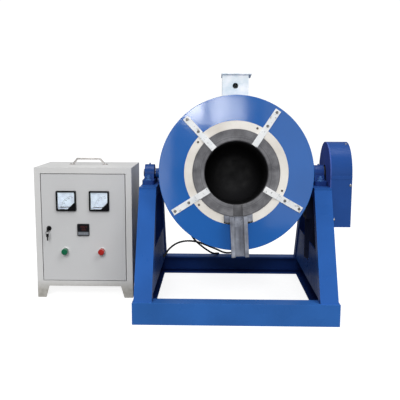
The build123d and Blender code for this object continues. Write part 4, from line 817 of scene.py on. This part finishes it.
def even_points(points, step):
    """The same line, walked in equal steps."""
    out = [points[0]]
    carry = 0.0
    for a, b in zip(points, points[1:]):
        length = (b - a).length
        while carry + length >= step:
            t = (step - carry) / length
            a = a.lerp(b, t)
            length = (b - a).length
            out.append(a.copy())
            carry = 0.0
        carry += length
    if (out[-1] - points[-1]).length > step * 0.3:
        out.append(points[-1])
    else:
        out[-1] = points[-1]
    return out


def tube_along(line, count, radius_at, reach=inf):
    """Closed tube over a line, up to reach; radius_at takes index, distance and angle."""
    bm = bmesh.new()
    rings = []
    side = Z.cross(line[1] - line[0])
    if side.length < 1e-5:
        side = X.copy()
    travelled = 0.0
    for index, place in enumerate(line):
        if index:
            travelled += (place - line[index - 1]).length
        if travelled > reach:
            break
        ahead = line[min(index + 1, len(line) - 1)]
        behind = line[max(index - 1, 0)]
        tangent = (ahead - behind).normalized()
        side = (side - tangent * side.dot(tangent)).normalized()
        over = tangent.cross(side)
        ring = []
        for step in range(count):
            angle = 2 * pi * step / count
            radius = radius_at(index, travelled, angle)
            offset = side * radius * cos(angle) + over * radius * sin(angle)
            ring.append(bm.verts.new(place + offset))
        rings.append(ring)
    for low, high in zip(rings, rings[1:]):
        bridge(bm, low, high)
    bm.faces.new(rings[0][::-1])
    bm.faces.new(rings[-1])
    return bm


def wrapped_cable(name, route):
    """Tube with the gap of the spiral wrap wound round it, its line and its length."""
    def radius_at(index, travelled, angle):
        phase = (angle / (2 * pi) + travelled / WRAP_PITCH) % 1
        return CABLE_D / 2 * (WRAP_GROOVE if phase < GROOVE_SHARE else 1.0)

    line = even_points(spline_points(route), CABLE_STEP)
    length = sum((b - a).length for a, b in zip(line, line[1:]))
    tube = tube_along(line, CABLE_SIDES, radius_at)
    piece = mesh_object(tube, name, MATERIALS["cable_rubber"], smooth=True)
    return piece, line, length


def strain_relief(name, line):
    """Tapered, ribbed sleeve round the first stretch of a cable, from its gland."""
    def radius_at(index, travelled, angle):
        between_ribs = index % 4 in (2, 3)
        return RELIEF_R - RELIEF_TAPER * travelled / RELIEF_L - (RELIEF_RIB if between_ribs else 0)

    sleeve = tube_along(line, RELIEF_SIDES, radius_at, RELIEF_L)
    piece = mesh_object(sleeve, name, MATERIALS["black_plastic"], smooth=False)
    return piece


supply, supply_line, supply_length = wrapped_cable("supply_cable_wrapped", SUPPLY_ROUTE)
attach(supply, "stand")
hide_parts("supply_cable")
supply_relief = strain_relief("supply_strain_relief", supply_line)
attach(supply_relief, "stand")
lead, lead_line, lead_length = wrapped_cable("furnace_lead_wrapped", LEAD_ROUTE)
lead_relief = strain_relief("lead_strain_relief", lead_line)
for part in (lead, lead_relief):
    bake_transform(part)
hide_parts("furnace_lead")
print("cable lengths", round(supply_length, 3), round(lead_length, 3))


# ================================================================ stage
FLOOR_HALF = 12.0
FLOOR_GLOW = 0.84
WHITE = (1, 1, 1, 1)
corners = [(-FLOOR_HALF, -FLOOR_HALF, 0), (FLOOR_HALF, -FLOOR_HALF, 0),
           (FLOOR_HALF, FLOOR_HALF, 0), (-FLOOR_HALF, FLOOR_HALF, 0)]
floor_mesh = bpy.data.meshes.new("floor")
floor_mesh.from_pydata(corners, [], [(0, 1, 2, 3)])
floor = add_object("floor", floor_mesh)
floor_mat, floor_tree, floor_shader, floor_vector = new_material("studio_floor")
floor_tone = add_ramp(floor_tree, add_noise(floor_tree, floor_vector, 3),
                      [(0.3, (0.44, 0.44, 0.44)), (0.7, (0.46, 0.46, 0.46))])
fill(floor_tree, floor_shader, {"Base Color": floor_tone, "Emission Color": WHITE,
                                "Emission Strength": FLOOR_GLOW, "Roughness": 0.9})
floor_mesh.materials.append(floor_mat)
floor.visible_diffuse = False       # the floor looks white, but doesn't light the inner faces
floor.visible_glossy = False        # nor does it shine in them

SCENE.view_settings.view_transform = "Standard"
FILL = 0.22                         # white surroundings, as the surfaces see them
BACKDROP = 1.05                     # and as the camera sees them
world = bpy.data.worlds.new("studio")
SCENE.world = world
world.use_nodes = True
seen_directly = world.node_tree.nodes.new("ShaderNodeLightPath").outputs["Is Camera Ray"]
fill(world.node_tree, world.node_tree.nodes["Background"], {
    "Color": WHITE,
    "Strength": add_range(world.node_tree, seen_directly, FILL, BACKDROP, start=0, end=1)})


# ================================================================ lights
def area_light(name, place, target, size, power):
    """Rectangular lamp, aimed at a point."""
    data = bpy.data.lights.new(name, "AREA")
    data.shape = "RECTANGLE"
    data.size, data.size_y = size
    data.energy = power
    light = add_object(name, data)
    light.location = place
    light.rotation_euler = (Vector(target) - Vector(place)).to_track_quat("-Z", "Y").to_euler()


def sun_light(name, direction, energy, spread):
    """Soft directional light; it leaves no glare of its own on the enamel."""
    data = bpy.data.lights.new(name, "SUN")
    data.energy = energy
    data.angle = radians(spread)
    light = add_object(name, data)
    light.visible_glossy = False
    light.rotation_euler = Vector(direction).to_track_quat("-Z", "Y").to_euler()


# the reflectors and hazes are what the drum's glossy plate mirrors
area_light("reflector_left", place=(-0.085, -3.6, 1.53), target=(0.06, -0.24, 0.77),
           size=(0.16, 0.24), power=2.8)
area_light("reflector_middle", place=(0.14, -3.6, 1.55), target=(0.1, -0.24, 0.77),
           size=(0.16, 0.34), power=2.55)
area_light("reflector_right", place=(0.3, -3.6, 1.52), target=(0.18, -0.24, 0.75),
           size=(0.16, 0.26), power=1.2)
area_light("haze_right", place=(0.85, -3.6, 1.2), target=(0.4, -0.24, 0.6),
           size=(0.6, 1.5), power=3.0)
area_light("haze_left", place=(-0.5, -3.6, 1.1), target=(-0.1, -0.24, 0.6),
           size=(0.4, 1.3), power=3.8)
area_light("softbox_top", place=(0.0, -0.2, 3.2), target=(-0.1, 0, 0.4),
           size=(2.6, 1.6), power=40)
sun_light("sun_front", direction=(0.04, 0.86, -0.48), energy=1.35, spread=20)
sun_light("sun_right", direction=(-0.55, 0.65, -0.75), energy=0.85, spread=25)


# ================================================================ camera
PHOTO_PX = 400
FOCAL_PX = 612                      # focal length, in the photograph's pixels
SENSOR_MM = 36
CAMERA_PLACE = (0.088, -2.468, 0.767)
YAW, PITCH, ROLL = -0.0208, 0.1494, 0.004
forward = Vector((sin(YAW) * cos(PITCH), cos(YAW) * cos(PITCH), -sin(PITCH)))
level_right = Vector((cos(YAW), -sin(YAW), 0))
level_up = level_right.cross(forward)
cam_right = level_right * cos(ROLL) + level_up * sin(ROLL)
cam_up = level_up * cos(ROLL) - level_right * sin(ROLL)
camera_data = bpy.data.cameras.new("camera")
camera_data.sensor_width = SENSOR_MM
camera_data.lens = SENSOR_MM * FOCAL_PX / PHOTO_PX
camera = add_object("camera", camera_data)
camera.matrix_world = (Matrix.Translation(CAMERA_PLACE)
                       @ Matrix((cam_right, cam_up, -forward)).transposed().to_4x4())
SCENE.camera = camera
